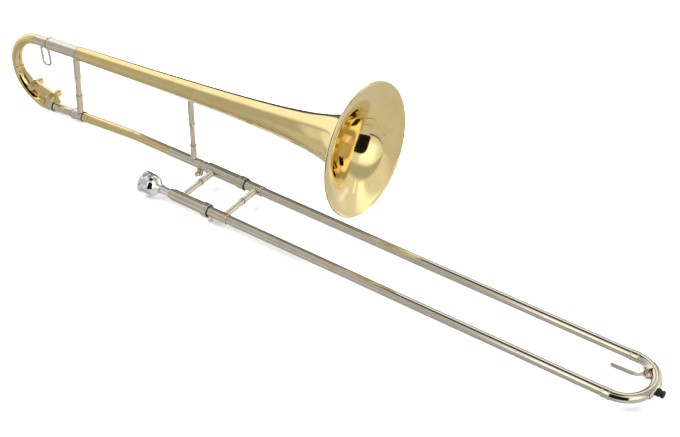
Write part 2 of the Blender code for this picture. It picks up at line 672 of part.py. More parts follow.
def neckpipe(bell_frame, start):
    front = -0.0682 - BEND_X
    runs = [(-BEND_HALF - start, 0), (2 * BEND_HALF, -BELL_PITCH), (front - BEND_HALF, 0),
            (0.0004, 0), (0.0078, 0)]
    frames = frames_along(runs, (2, 5, 1, 1, 1))
    tip = RECEIVER_BORE - GAP
    outer = [NECK_REAR_R, NECK_REAR_R, NECK_REAR_R - 0.0001] + [NECK_R + 0.0001] * 2
    outer += [NECK_R] * 4 + [tip, tip]
    bore = LEG_LOWER_R + GAP
    inner = [bore, bore, bore] + [bore - 0.0003] * 2 + [bore - 0.0006] * 2 + [tip - 0.0008] * 4
    node("neckpipe", bent(frames, outer, inner), BRASS, bell_frame, (start, 0, 0))


CLAMP_OUT = 0.0150
CLAMP_X = -0.0058
CLAMP_TURN = math.radians(66)


def bell_receiver(swivel):
    """The socket over the slide's tenon, split and closed by the clamp's ears."""
    start, end = -0.0679, -0.0012
    item = node("bell_receiver", tube(
        [(start, RECEIVER_R), (end - 0.0012, RECEIVER_R), (end - 0.0010, RECEIVER_R + 0.0005),
         (end, RECEIVER_R + 0.0005)],
        [(start, RECEIVER_BORE), (end, RECEIVER_BORE)], 24), NICKEL, swivel)
    turn = Matrix.Rotation(CLAMP_TURN - math.pi / 2, 4, "X")
    outline = [(CLAMP_X - 0.0042, -RECEIVER_R + 0.0002), (CLAMP_X - 0.0042, -CLAMP_OUT - 0.0012),
               (CLAMP_X - 0.0026, -CLAMP_OUT - 0.0032), (CLAMP_X + 0.0026, -CLAMP_OUT - 0.0032),
               (CLAMP_X + 0.0042, -CLAMP_OUT - 0.0012), (CLAMP_X + 0.0042, -RECEIVER_R + 0.0002)]
    shaped(item, "UNION", moved(plate(outline, -0.0036, 0.0036), turn))
    slot = block((CLAMP_X - 0.0075, -0.0008, -CLAMP_OUT - 0.01), (0.01, 0.0008, -0.004))
    shaped(item, "DIFFERENCE", moved(slot, turn))
    hole = spun([(-0.01, 0), (-0.01, 0.0018), (0.01, 0.0018), (0.01, 0)], 16)
    place = turn @ Matrix.Translation((CLAMP_X, 0, -CLAMP_OUT)) @ Matrix.Rotation(math.pi / 2, 4, "Z")
    shaped(item, "DIFFERENCE", moved(hole, place))


def clamp_frame():
    turn = Matrix.Rotation(CLAMP_TURN - math.pi / 2, 4, "X")
    return turn @ Matrix.Translation((CLAMP_X, 0, -CLAMP_OUT))


def bell_clamp(swivel, screw_axis):
    side = Matrix.Rotation(-math.pi / 2, 4, "Z")
    nut = spun([(-0.0065, 0.0016 + GAP), (-0.0065, 0.0029), (-0.0036 - GAP, 0.0032),
                (-0.0036 - GAP, 0.0016 + GAP)], 6)
    node("bell_clamp_nut", moved(nut, clamp_frame() @ side), BRASS, swivel)
    shank, knob = 0.0014, 0.0040
    top = 0.0036 + GAP
    node("bell_clamp_screw", spun(
        [(-0.0078, 0), (-0.0078, shank), (top, shank), (top, 0.0026), (top + 0.0012, 0.0026),
         (top + 0.0014, knob - 0.0004), (top + 0.0019, knob), (top + 0.0046, knob),
         (top + 0.0054, knob - 0.0008), (top + 0.0056, 0)], 20), NICKEL, screw_axis)


def braces(swivel, bell_frame):
    bend = Vector((BEND_X, 0, 0))
    cos, sin = math.cos(BELL_PITCH), math.sin(BELL_PITCH)

    def in_slide_frame(t, b):
        return bend + Vector((t * cos - b * sin, 0, t * sin + b * cos))

    low = Vector((-0.0204, 0, 0))
    reach_t = (low.x - BEND_X + BELL_SPACING * sin) / cos
    high = in_slide_frame(reach_t, BELL_SPACING)
    rod = 0.0041
    length = (high - low).length
    foot("front_brace_foot_bottom", swivel, low, lambda _: RECEIVER_R, 0.0325, rod,
         (0.0065, 0.0055))
    foot("front_brace_foot_top", bell_frame, (reach_t, 0, BELL_SPACING),
         lambda x: bell_radius(reach_t + x), length - 0.0693, rod, (0.0080, 0.0075),
         (math.pi, 0, 0), -BELL_PITCH)
    rod_between("front_brace_rod", swivel, low, (0, 0, 0), 0.0275, 0.0748, rod)
    low_t, high_t = TAIL_T - 0.0222, TAIL_T - 0.0082
    lean = math.atan2(high_t - low_t, BELL_SPACING)
    rear = 0.0048
    span = BELL_SPACING / math.cos(lean)
    foot("rear_brace_foot_bottom", bell_frame, (low_t, 0, 0),
         lambda _: LOWER_RECEIVER_R + GAP, 0.0420, rear, (0.0060, 0.0068), lean=lean)
    foot("rear_brace_foot_top", bell_frame, (high_t, 0, BELL_SPACING),
         lambda _: UPPER_RECEIVER_R, span - 0.0745, rear, (0.0056, 0.0072), (math.pi, 0, 0), -lean)
    rod_between("rear_brace_rod", bell_frame, (low_t, 0, 0), (0, lean, 0), 0.0365,
                0.0745 + 0.0055, rear)


BOW_STEPS = 8
BOW_START = 2


def bow_frame(degrees):
    """Frame on the bow's centre line: 0 at the upper leg, 180 at the lower, X along the air's way."""
    a, middle = math.radians(degrees), BELL_SPACING / 2
    side = BOW_TOP_T if degrees <= 90 else BOW_LOW_T
    depth = side - BOW_BACK_T
    spot = (side - depth * math.sin(a), 0, middle + middle * math.cos(a))
    heading = math.atan2(-middle * math.sin(a), -depth * math.cos(a))
    return Matrix.Translation(spot) @ Matrix.Rotation(-heading, 4, "Y")


def bow_frames():
    steps = 2 * BOW_STEPS
    turns = [BOW_START] + [180 * k / steps for k in range(1, steps + 1)]
    frames = [bow_frame(turn) for turn in turns]
    return frames + [Matrix.Translation((BOW_LOW_T + BOW_STUB, 0, 0))]


BOW_UPPER_R = 0.0088
BOW_LOWER_R = 0.0080
BOW_WALL = 0.0007


def bow_radius(share):
    return BOW_UPPER_R + (BOW_LOWER_R - BOW_UPPER_R) * max(0, (share - 0.5) * 2) ** 1.5


def tuning_slide(axis):
    frames = bow_frames()
    last = len(frames) - 1
    outer = [bow_radius(k / last) for k in range(last + 1)]
    node("tuning_bow", bent(frames, outer, [r - BOW_WALL for r in outer]), BRASS, axis)
    spigot = BOW_UPPER_R - BOW_WALL - GAP
    inside = TAIL_T - 0.0020
    seam = BOW_START - 0.4
    way = [bow_frame(turn) for turn in (BOW_START + 4, seam, seam, seam / 2, 0)]
    way.append(Matrix.Translation((inside, 0, BELL_SPACING)) @ Matrix.Rotation(math.pi, 4, "Y"))
    radii = [spigot, spigot] + [LEG_UPPER_R] * 4
    node("tuning_leg_upper", bent(way, radii, [spigot - 0.0007] * 6), NICKEL, axis)
    low_end = BOW_LOW_T + BOW_STUB
    node("tuning_leg_lower",
         ring(low_end - 0.0060, LEG_TIP_T, LEG_LOWER_R - WALL, LEG_LOWER_R), NICKEL, axis)
    start, end = low_end + GAP, LEG_END_T
    node("tuning_leg_ring", tube(
        [(start, BOW_LOWER_R), (start + 0.0003, BOW_LOWER_R + 0.0004),
         (start + 0.0015, BOW_LOWER_R + 0.0004), (start + 0.0018, BOW_LOWER_R),
         (end - 0.0018, BOW_LOWER_R), (end - 0.0015, BOW_LOWER_R + 0.0004),
         (end - 0.0003, BOW_LOWER_R + 0.0004), (end, BOW_LOWER_R - 0.0002)],
        [(start, LEG_LOWER_R + GAP), (end, LEG_LOWER_R + GAP)]), NICKEL, axis)
    pull_ring(axis)
    counterweight(axis)


def rounded(cx, cz, half_x, half_z, corner, steps=3):
    points = []
    for quarter, (sx, sz) in enumerate(((1, 1), (-1, 1), (-1, -1), (1, -1))):
        for k in range(steps + 1):
            a = math.radians(90 * quarter + 90 * k / steps)
            points.append((cx + sx * (half_x - corner) + corner * math.cos(a),
                           cz + sz * (half_z - corner) + corner * math.sin(a)))
    return points


def pull_ring(axis):
    """A plain stirrup under the upper leg for one finger."""
    middle, top = TAIL_T - 0.0787, BELL_SPACING - LEG_UPPER_R
    half_z = 0.0182
    centre = top - half_z + 0.0015
    stirrup = plate(rounded(middle, centre, 0.0098, half_z, 0.0075), -0.0014, 0.0014)
    item = node("pull_ring", stirrup, NICKEL, axis)
    opening = plate(rounded(middle, centre - 0.0004, 0.0066, half_z - 0.0036, 0.0048), -0.004, 0.004)
    shaped(item, "DIFFERENCE", opening)
    shaped(item, "DIFFERENCE", moved(spun([(-0.02, 0), (-0.02, LEG_UPPER_R + GAP),
                                           (0.02, LEG_UPPER_R + GAP), (0.02, 0)], 40),
                                     Matrix.Translation((middle, 0, BELL_SPACING))))


WEIGHT_1 = (TAIL_T - 0.1179, 0.0318)
WEIGHT_2 = (TAIL_T - 0.0790, 0.0205)


def counterweight(axis):
    """A plate inside the bow whose lower edge rides on the tube, with two bolts and weights."""
    frames = bow_frames()
    last = len(frames) - 1
    rows = list(range(BOW_STEPS + 1, last - 1))

    def place(u, v, w):
        spot = u * (len(rows) - 1)
        k = rows[round(spot)]
        angle = (2 * v - 1) * math.radians(62)
        r = bow_radius(k / last) + GAP + w * 0.0012
        return frames[k] @ Vector((0, r * math.sin(angle), r * math.cos(angle)))

    item = node("counterweight_saddle", patch(len(rows) - 1, 8, place), BRASS, axis)
    inner_edge = [frames[k] @ Vector((0, 0, bow_radius(k / last) + GAP + 0.0006)) for k in rows]
    outline = [(p.x, p.z) for p in inner_edge[1:-1]]
    outline += [(TAIL_T - 0.0675, outline[-1][1]), (TAIL_T - 0.0650, outline[-1][1] + 0.0035),
                (WEIGHT_2[0] + 0.0062, WEIGHT_2[1] + 0.0035), (WEIGHT_2[0] + 0.0020, WEIGHT_2[1] + 0.0066),
                (WEIGHT_1[0] + 0.0022, WEIGHT_1[1] + 0.0068), (WEIGHT_1[0] - 0.0050, WEIGHT_1[1] + 0.0070)]
    shaped(item, "UNION", plate(outline, -0.0022, 0.0022))
    for number, (t, b) in enumerate((WEIGHT_1, WEIGHT_2), 1):
        turn = Matrix.Translation((t, 0, b)) @ Matrix.Rotation(math.pi / 2, 4, "Z")
        hole = spun([(-0.01, 0), (-0.01, 0.0026), (0.01, 0.0026), (0.01, 0)], 16)
        shaped(item, "DIFFERENCE", moved(hole, turn))
        bolt = spun([(-0.0135, 0), (-0.0135, 0.0060), (-0.0127, 0.0072), (-0.0022 - GAP, 0.0072),
                     (-0.0022 - GAP, 0.0022), (0.0085, 0.0022), (0.0085, 0)], 6)
        node("counterweight_bolt_%d" % number, moved(bolt, turn), BRASS, axis)
        start = 0.0022 + GAP
        weight = spun([(start, 0.0026), (start, 0.0060), (start + 0.0112, 0.0060),
                       (start + 0.0120, 0.0052), (start + 0.0120, 0.0026), (start + 0.0090, 0.0026),
                       (start + 0.0090, 0.0025), (start + 0.0070, 0.0025)], 20)
        node("counterweight_weight_%d" % number, moved(weight, turn), BRASS, axis)


def build():
    clear_scene()
    root = empty("trombone")
    inner_slide(root)
    slide_lock(empty("slide_lock_axis", root, (0, -SLIDE_SPACING, 0)))
    mouthpiece(empty("mouthpiece_axis", root, (0, -SLIDE_SPACING, 0)))
    outer = empty("hand_slide_axis", root)
    outer_slide(outer)
    water_key_seat(outer)
    water_key(empty("water_key_axis", outer, pivot_point()))
    swivel = empty("bell_swivel_axis", root)
    bell_frame = empty("bell_frame", swivel, (BEND_X, 0, 0), (0, -BELL_PITCH, 0))
    bell_section(swivel, bell_frame)
    screw = clamp_frame() @ Matrix.Rotation(-math.pi / 2, 4, "Z")
    screw_axis = empty("bell_clamp_axis", swivel, screw.translation, screw.to_euler())
    bell_clamp(swivel, screw_axis)
    tuning_slide(empty("tuning_slide_axis", bell_frame))
    stand_on_floor(root)


def stand_on_floor(root):
    """Put the origin at the bottom centre of the whole object."""
    bpy.context.view_layer.update()
    graph = bpy.context.evaluated_depsgraph_get()
    spots = []
    for item in NODES:
        seen = item.evaluated_get(graph)
        spots += [seen.matrix_world @ v.co for v in seen.data.vertices]
    low = [min(p[i] for p in spots) for i in range(3)]
    high = [max(p[i] for p in spots) for i in range(3)]
    root.location = (-(low[0] + high[0]) / 2, -(low[1] + high[1]) / 2, -low[2])


build()
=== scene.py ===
"""Looks of the tenor trombone: finished pieces, materials, light and camera."""
import json
from math import atan2, cos, pi, radians, sin, tan

import bmesh
import bpy
from mathutils import Euler, Matrix, Vector


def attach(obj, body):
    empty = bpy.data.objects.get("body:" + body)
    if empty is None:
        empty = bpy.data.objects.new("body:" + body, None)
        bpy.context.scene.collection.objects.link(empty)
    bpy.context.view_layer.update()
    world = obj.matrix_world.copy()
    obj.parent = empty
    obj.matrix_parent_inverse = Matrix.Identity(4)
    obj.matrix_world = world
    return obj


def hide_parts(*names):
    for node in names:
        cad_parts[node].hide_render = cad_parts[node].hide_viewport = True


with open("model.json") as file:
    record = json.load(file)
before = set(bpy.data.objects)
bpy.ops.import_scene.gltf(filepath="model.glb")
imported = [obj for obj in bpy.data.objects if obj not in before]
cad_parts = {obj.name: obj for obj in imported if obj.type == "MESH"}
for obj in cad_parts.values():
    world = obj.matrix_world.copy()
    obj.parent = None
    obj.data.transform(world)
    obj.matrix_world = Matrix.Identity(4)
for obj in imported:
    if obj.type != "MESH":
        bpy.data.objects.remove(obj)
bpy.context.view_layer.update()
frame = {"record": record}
RECORD = frame["record"]
BODY_OF = {name: body for body, names in RECORD["behaviour"]["bodies"].items() for name in names}
JOINTS = {joint["name"]: joint for joint in RECORD["behaviour"]["joints"]}

FINE = 96
EDGE = 0.00022
SEAM_HALF = 0.00035

# The part's driving dimensions, in metres.
GAP = 0.0003
WALL = 0.0006

INNER_R = 0.0063
INNER_WALL = 0.0004
STOCKING = 0.00015
OUTER_WALL = 0.00045
SLEEVE_WALL = 0.0005
BARREL_WALL = 0.0008
SLIDE_SPACING = 0.0845
COLLAR_LENGTH = 0.0078
PLUG_LENGTH = 0.0275
BARREL_LENGTH = 0.0692
FELT_LENGTH = 0.0047
SLEEVE_LENGTH = 0.0717
CROOK_X = 0.7425
STOCKING_LENGTH = 0.12
LEADPIPE_LENGTH = 0.21
TENON_LENGTH = 0.030

BELL_SPACING = 0.1223
BELL_PITCH = radians(4.25)
BEND_X = -0.1455
BEND_HALF = 0.018
BELL_RADIUS = 0.100
BELL_LENGTH = 0.5501
BELL_WALL = 0.0008
BELL_RIM_T = 0.4576
TAIL_T = BELL_RIM_T - BELL_LENGTH
FLARE_OFFSET = 0.0105
FLARE_POWER = 0.55
BEAD_R = 0.0018

BOW_TOP_T = TAIL_T - 0.0910
BOW_LOW_T = TAIL_T - 0.0965
BOW_BACK_T = TAIL_T - 0.1517
BOW_STUB = 0.0044
LEG_UPPER_R = 0.0088
LEG_LOWER_R = 0.0067
LEG_END_T = TAIL_T - 0.0815
LEG_TIP_T = TAIL_T + 0.0165

SHANK_R = 0.0062
SHANK_TAPER = 0.032
SHANK_END = 0.0275
RECEIVER_X = 0.0019

OUTER_BORE = INNER_R + STOCKING + GAP
OUTER_R = OUTER_BORE + OUTER_WALL
SLEEVE_R = OUTER_R + GAP + SLEEVE_WALL
BARREL_BORE = SLEEVE_R + 0.0005
BARREL_R = BARREL_BORE + BARREL_WALL
PLUG_R = BARREL_BORE - GAP
BARREL_X = COLLAR_LENGTH + GAP
LIP = 0.0008
PLUG_X = BARREL_X + LIP + GAP
PLUG_END = PLUG_X + PLUG_LENGTH
BARREL_END = BARREL_X + BARREL_LENGTH
STUD_X = 0.0048
FELT_X = PLUG_END + GAP
SLEEVE_X = FELT_X + FELT_LENGTH + GAP
SLEEVE_END = SLEEVE_X + SLEEVE_LENGTH
STUB = 0.0045
TUBE_END = CROOK_X - STUB - GAP
INNER_END = TUBE_END - 0.012
BOW_R = SLIDE_SPACING / 2
NECK_R = 0.00725
NECK_REAR_R = LEG_LOWER_R + 2 * GAP + WALL - 0.0003
RECEIVER_BORE = 0.0070
RECEIVER_R = RECEIVER_BORE + WALL
LOWER_RECEIVER_R = NECK_REAR_R + GAP + WALL
UPPER_RECEIVER_BORE = LEG_UPPER_R + GAP
UPPER_RECEIVER_R = UPPER_RECEIVER_BORE + 0.0010

NEAR = (0, -SLIDE_SPACING, 0)
HIGH = (0, 0, BELL_SPACING)
SIDES = (("near", NEAR), ("far", (0, 0, 0)))

BRASS, NICKEL, SILVER, STEEL = "brass", "nickel", "silver", "steel"
# felt also paints the shade at the barrel mouths, and the last finish paints the shade in the joints
RUBBER, FELT_AND_SHADE, CORK, JOINT_SHADE = "rubber", "felt", "cork", "joint_shade"


# Materials


def new_material(name, colour, metallic, roughness):
    mat = bpy.data.materials.new(name)
    mat.use_nodes = True
    shader = mat.node_tree.nodes["Principled BSDF"]
    shader.inputs["Base Color"].default_value = (*colour, 1)
    shader.inputs["Metallic"].default_value = metallic
    shader.inputs["Roughness"].default_value = roughness
    return mat, mat.node_tree, shader


def feed(tree, socket, value):
    """Link an output to a socket, or set the socket to a plain value."""
    if isinstance(value, bpy.types.NodeSocket):
        tree.links.new(value, socket)
    else:
        socket.default_value = value


def add(tree, kind, **inputs):
    item = tree.nodes.new(kind)
    for key, value in inputs.items():
        feed(tree, item.inputs[key], value)
    return item


def spread(tree, value, low, high, start=0.3, end=0.7, kind="LINEAR"):
    """Value from start..end carried to low..high."""
    item = add(tree, "ShaderNodeMapRange", **{
        "Value": value, "From Min": start, "From Max": end, "To Min": low, "To Max": high})
    item.interpolation_type = kind
    return item.outputs["Result"]


def worked_out(tree, operation, *values):
    """The output of a Math node fed with outputs or plain numbers."""
    item = tree.nodes.new("ShaderNodeMath")
    item.operation = operation
    for socket, value in zip(item.inputs, values):
        feed(tree, socket, value)
    return item.outputs["Value"]


def blended(tree, factor, a, b):
    """A colour mix of two outputs or fixed colours."""
    item = add(tree, "ShaderNodeMix")
    item.data_type = "RGBA"
    for key, value in (("Factor", factor), (6, a), (7, b)):
        feed(tree, item.inputs[key], value)
    return item.outputs[2]


def new_group(name, *numbers):
    """A node group that takes two tints and the named numbers and gives tint, roughness and height."""
    group = bpy.data.node_groups.new(name, "ShaderNodeTree")
    sockets = [("First", "INPUT", "Color"), ("Second", "INPUT", "Color")]
    sockets += [(label, "INPUT", "Float") for label in numbers]
    sockets += [("Tint", "OUTPUT", "Color"), ("Roughness", "OUTPUT", "Float"), ("Height", "OUTPUT", "Float")]
    for label, way, kind in sockets:
        group.interface.new_socket(label, in_out=way, socket_type="NodeSocket" + kind)
    given = group.nodes.new("NodeGroupInput").outputs
    return group, given, group.nodes.new("ShaderNodeTexCoord").outputs["Object"]


def noise(tree, where, scale, detail, roughness):
    return add(tree, "ShaderNodeTexNoise", Vector=where, Scale=scale, Detail=detail,
               Roughness=roughness).outputs["Fac"]


def wear_group():
    """Handled metal: smudges shift the tint and dull the gloss, and wiping lines roughen it."""
    group, given, where = new_group("wear", "Roughness")
    stretch = add(group, "ShaderNodeMapping", Vector=where, Scale=(1.0, 0.08, 0.08))
    smudge = noise(group, where, 42.0, 5.0, 0.62)
    lines = noise(group, stretch.outputs["Vector"], 2600.0, 3.0, 0.7)
    low, high = [worked_out(group, "MULTIPLY", given["Roughness"], share) for share in (0.75, 1.7)]
    rough = worked_out(group, "ADD", spread(group, smudge, low, high), spread(group, lines, -0.015, 0.03))
    tint = blended(group, spread(group, smudge, 0.0, 1.0, 0.42, 0.75), given["First"], given["Second"])
    add(group, "NodeGroupOutput", Tint=tint, Roughness=rough, Height=smudge)
    return group


def grain_group():
    """Rubber, felt and cork: a fine grain shifts the tint and the roughness."""
    group, given, where = new_group("grain", "Roughness", "Scale")
    grain = noise(group, where, given["Scale"], 8.0, 0.65)
    low, high = [worked_out(group, "ADD", given["Roughness"], step) for step in (-0.1, 0.1)]
    tint = blended(group, spread(group, grain, 0.0, 1.0), given["First"], given["Second"])
    add(group, "NodeGroupOutput", Tint=tint, Roughness=spread(group, grain, low, high), Height=grain)
    return group


WEAR, GRAIN = wear_group(), grain_group()


def finished(name, effect, metallic, first, second, relief, depth, **values):
    """A material whose colour, gloss and relief come from an effect set to its own values."""
    mat, tree, shader = new_material(name, first, metallic, values["Roughness"])
    item = tree.nodes.new("ShaderNodeGroup")
    item.node_tree = effect
    for key, value in {"First": (*first, 1), "Second": (*second, 1), **values}.items():
        item.inputs[key].default_value = value
    bump = add(tree, "ShaderNodeBump", Strength=relief, Distance=depth, Height=item.outputs["Height"])
    feed(tree, shader.inputs["Base Color"], item.outputs["Tint"])
    feed(tree, shader.inputs["Roughness"], item.outputs["Roughness"])
    feed(tree, shader.inputs["Normal"], bump.outputs["Normal"])
    return mat, shader


def polished(name, clean, dull, roughness, relief, coat):
    mat, shader = finished(name, WEAR, 1.0, clean, dull, relief, 0.00003, Roughness=roughness)
    shader.inputs["Coat Weight"].default_value = coat
    shader.inputs["Coat Roughness"].default_value = 0.04
    return mat


def grainy(name, first, second, roughness, scale, relief):
    return finished(name, GRAIN, 0.0, first, second, relief, 0.0002, Roughness=roughness, Scale=scale)[0]


# Metals: two tints, roughness, relief and lacquer. Rough stuffs: two tints, roughness, grain, relief.
METALS = {
    BRASS: ("lacquered_brass", (0.87, 0.70, 0.33), (0.81, 0.62, 0.26), 0.06, 0.05, 0.35),
    NICKEL: ("nickel_silver", (0.78, 0.72, 0.58), (0.71, 0.64, 0.50), 0.07, 0.06, 0.0),
    SILVER: ("silver_plate", (0.97, 0.97, 0.96), (0.93, 0.93, 0.92), 0.04, 0.03, 0.0),
    STEEL: ("spring_steel", (0.60, 0.60, 0.61), (0.50, 0.50, 0.51), 0.2, 0.1, 0.0),
}
ROUGH_STUFFS = {
    RUBBER: ("black_rubber", (0.004, 0.004, 0.005), (0.010, 0.010, 0.011), 0.55, 900.0, 0.15),
    # black felt, also used to paint the shade at the barrel mouths
    FELT_AND_SHADE: ("black_felt_and_painted_shade", (0.03, 0.03, 0.035), (0.06, 0.06, 0.065), 0.9, 2600.0, 0.7),
    # painted shade: the dark rings laid in the joints' gaps
    JOINT_SHADE: ("painted_joint_shade", (0.02, 0.014, 0.008), (0.06, 0.045, 0.025), 0.6, 1500.0, 0.2),
    CORK: ("cork", (0.42, 0.26, 0.13), (0.60, 0.42, 0.25), 0.85, 1100.0, 0.5),
}
MATERIALS = {finish: polished(*values) for finish, values in METALS.items()}
MATERIALS.update({finish: grainy(*values) for finish, values in ROUGH_STUFFS.items()})


# Modelling


def outward(bm):
    """Turn every face to look out of the closed shape."""
    bmesh.ops.recalc_face_normals(bm, faces=bm.faces)
    if bm.calc_volume(signed=True) < 0:
        bmesh.ops.reverse_faces(bm, faces=bm.faces)
    return bm


def eased(profile, soft):
    """The profile with each sharp corner turned into a small round."""
    points = [Vector(p) for p in profile]
    closed = profile[0][1] > 0 or profile[-1][1] > 0
    count = len(points)
    result = []
    for k, here in enumerate(points):
        back, on = points[k - 1] - here, points[(k + 1) % count] - here
        end = not closed and k in (0, count - 1)
        if end or back.length < 1e-9 or on.length < 1e-9 or back.angle(on) > radians(158):
            result.append(here)
            continue
        size_a, size_b = min(soft, back.length * 0.4), min(soft, on.length * 0.4)
        a, b = here + back.normalized() * size_a, here + on.normalized() * size_b
        for share in (0, 1 / 3, 2 / 3, 1):
            result.append(a * (1 - share) ** 2 + here * 2 * share * (1 - share) + b * share ** 2)
    return [(p.x, p.y) for p in result]


def spun(profile, segments=FINE, soft=EDGE):
    """A profile of (x, radius) points turned about the X axis; it closes itself off the axis."""
    if soft:
        profile = eased(profile, soft)
    bm = bmesh.new()
    verts = [bm.verts.new((x, 0, r)) for x, r in profile]
    pairs = list(zip(verts, verts[1:]))
    if profile[0][1] > 0 or profile[-1][1] > 0:
        pairs.append((verts[-1], verts[0]))
    edges = [bm.edges.new(pair) for pair in pairs]
    bmesh.ops.spin(bm, geom=verts + edges, cent=(0, 0, 0), axis=(1, 0, 0), angle=2 * pi,
                   steps=segments, use_merge=True)
    bmesh.ops.remove_doubles(bm, verts=bm.verts, dist=1e-7)
    return outward(bm)


def tube(outer, inner, segments=FINE, soft=EDGE):
    return spun(list(outer) + list(reversed(inner)), segments, soft)


def sleeve(outer, bore, segments=FINE, soft=EDGE):
    """A turned outside over a straight bore of the same length."""
    return tube(outer, [(outer[0][0], bore), (outer[-1][0], bore)], segments, soft)


def ring(start, end, bore, radius, soft=EDGE):
    return sleeve([(start, radius), (end, radius)], bore, FINE, soft)


def bar(start, end, radius, segments):
    """A solid round bar along X."""
    return spun([(start, 0), (start, radius), (end, radius), (end, 0)], segments)


def shifted(x, points):
    return [(x + along, r) for along, r in points]


def lip(x, r, lift, steps, way=1):
    """A raised band from x onwards, or back from x with way -1, rising and falling at the steps."""
    points = [(x, r)] + [(x + way * step, r + up) for step, up in zip(steps, (lift, lift, 0))]
    return points[::way]


def frames_along(runs, steps):
    """Frames of a path in the XZ plane made of (length, angle) runs, heading along X."""
    frames = [Matrix.Identity(4)]
    for (length, angle), count in zip(runs, steps):
        start = frames[-1]
        for k in range(1, count + 1):
            turned, move = angle * k / count, (length * k / count, 0, 0)
            if angle:
                radius = length / angle
                move = (radius * sin(turned), 0, radius * (1 - cos(turned)))
            frames.append(start @ Matrix.Translation(move) @ Matrix.Rotation(-turned, 4, "Y"))
    return frames


def bent(frames, outer, inner, segments=FINE):
    """A tube whose station k stands in frame k, with its outer and inner radius there."""
    stations = [[(k, r) for k, r in enumerate(radii)] for radii in (outer, inner)]
    bm = tube(*stations, segments, 0)
    for v in bm.verts:
        v.co = frames[round(v.co.x)] @ Vector((0, v.co.y, v.co.z))
    return outward(bm)


def patch(steps_u, steps_v, place):
    """A block with unit coordinates u, v, w carried to place(u, v, w)."""
    bm = bmesh.new()
    bmesh.ops.create_grid(bm, x_segments=steps_u, y_segments=steps_v, size=0.5)
    grown = bmesh.ops.extrude_face_region(bm, geom=bm.faces[:], use_keep_orig=True)["geom"]
    above = [item for item in grown if isinstance(item, bmesh.types.BMVert)]
    bmesh.ops.translate(bm, verts=above, vec=(0, 0, 1))
    for v in bm.verts:
        v.co = place(v.co.x + 0.5, v.co.y + 0.5, v.co.z)
    return outward(bm)


def extruded(rows):
    """A face over the first row of corners, extruded to each row after it."""
    bm = bmesh.new()
    face = bm.faces.new([bm.verts.new(corner) for corner in rows[0]])
    for k, row in enumerate(rows[1:]):
        grown = bmesh.ops.extrude_face_region(bm, geom=[face], use_keep_orig=True)["geom"]
        if k:
            bm.faces.remove(face)
        face = next(item for item in grown if isinstance(item, bmesh.types.BMFace))
        for vert, corner in zip(face.verts, row):
            vert.co = corner
    return outward(bm)


def plate(outline, low, high):
    """A flat outline in the XZ plane, from y = low to y = high."""
    return extruded([[(x, y, z) for x, z in outline] for y in (low, high)])


def block(low, high):
    low, high = Vector(low), Vector(high)
    bm = bmesh.new()
    bmesh.ops.create_cube(bm, size=1, matrix=Matrix.LocRotScale((low + high) / 2, None, high - low))
    return bm


def strip(stations):
    """A bar through (x, y, half width in plan, low z, high z) stations in the XY plane."""
    points = [Vector((s[0], s[1], 0)) for s in stations]
    rows = []
    for k, (half, low, high) in enumerate(s[2:] for s in stations):
        run = points[min(k + 1, len(points) - 1)] - points[max(k - 1, 0)]
        side = Vector((-run.y, run.x, 0)).normalized() * half
        corners = [(-1, low), (1, low), (1, high), (-1, high)]
        rows.append([points[k] + side * s + Vector((0, 0, z)) for s, z in corners])
    return extruded(rows)


def moved(bm, matrix):
    bmesh.ops.transform(bm, matrix=matrix, verts=bm.verts)
    return bm


def along_z(bm):
    """A shape built along X stood up along Z."""
    return moved(bm, Matrix.Rotation(-pi / 2, 4, "Y"))


def seat(parent, at=(0, 0, 0), turn=(0, 0, 0)):
    return parent @ Matrix.Translation(at) @ Euler(turn).to_matrix().to_4x4()


def linked(name, data):
    item = bpy.data.objects.new(name, data)
    bpy.context.collection.objects.link(item)
    return item


def placed(name, bm, place):
    mesh = bpy.data.meshes.new(name)
    bm.transform(place)
    bm.to_mesh(mesh)
    bm.free()
    return linked(name, mesh)


PLACES = {}
PARENTS = {}


def extra(name, bm, finish, parent, like, at=(0, 0, 0), turn=(0, 0, 0)):
    """A piece that rides on the body of the node `like`."""
    place = seat(parent, at, turn)
    item = placed(name, bm, place)
    item.data.materials.append(MATERIALS[finish])
    PLACES[item.name], PARENTS[item.name] = place, parent
    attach(item, BODY_OF[like])
    return item


def node(name, bm, finish, parent, at=(0, 0, 0), turn=(0, 0, 0)):
    """A finished piece that stands for the node of that name."""
    item = extra("fine_" + name, bm, finish, parent, name, at, turn)
    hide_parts(name)
    return item


def shaped(item, operation, bm, place=None):
    """Combine a piece with a helper that stands in the given frame or in the piece's own."""
    helper = placed("helper", bm, PLACES[item.name] if place is None else place)
    step = item.modifiers.new(operation.lower(), "BOOLEAN")
    step.operation = operation
    step.solver = "EXACT"
    step.object = helper
    graph = bpy.context.evaluated_depsgraph_get()
    mesh = bpy.data.meshes.new_from_object(item.evaluated_get(graph))
    item.modifiers.clear()
    item.data = mesh
    bpy.data.objects.remove(helper)


def cut(item, bm, place=None):
    shaped(item, "DIFFERENCE", bm, place)


def joined(item, bm):
    shaped(item, "UNION", bm)


ROD_IN = 0.0055


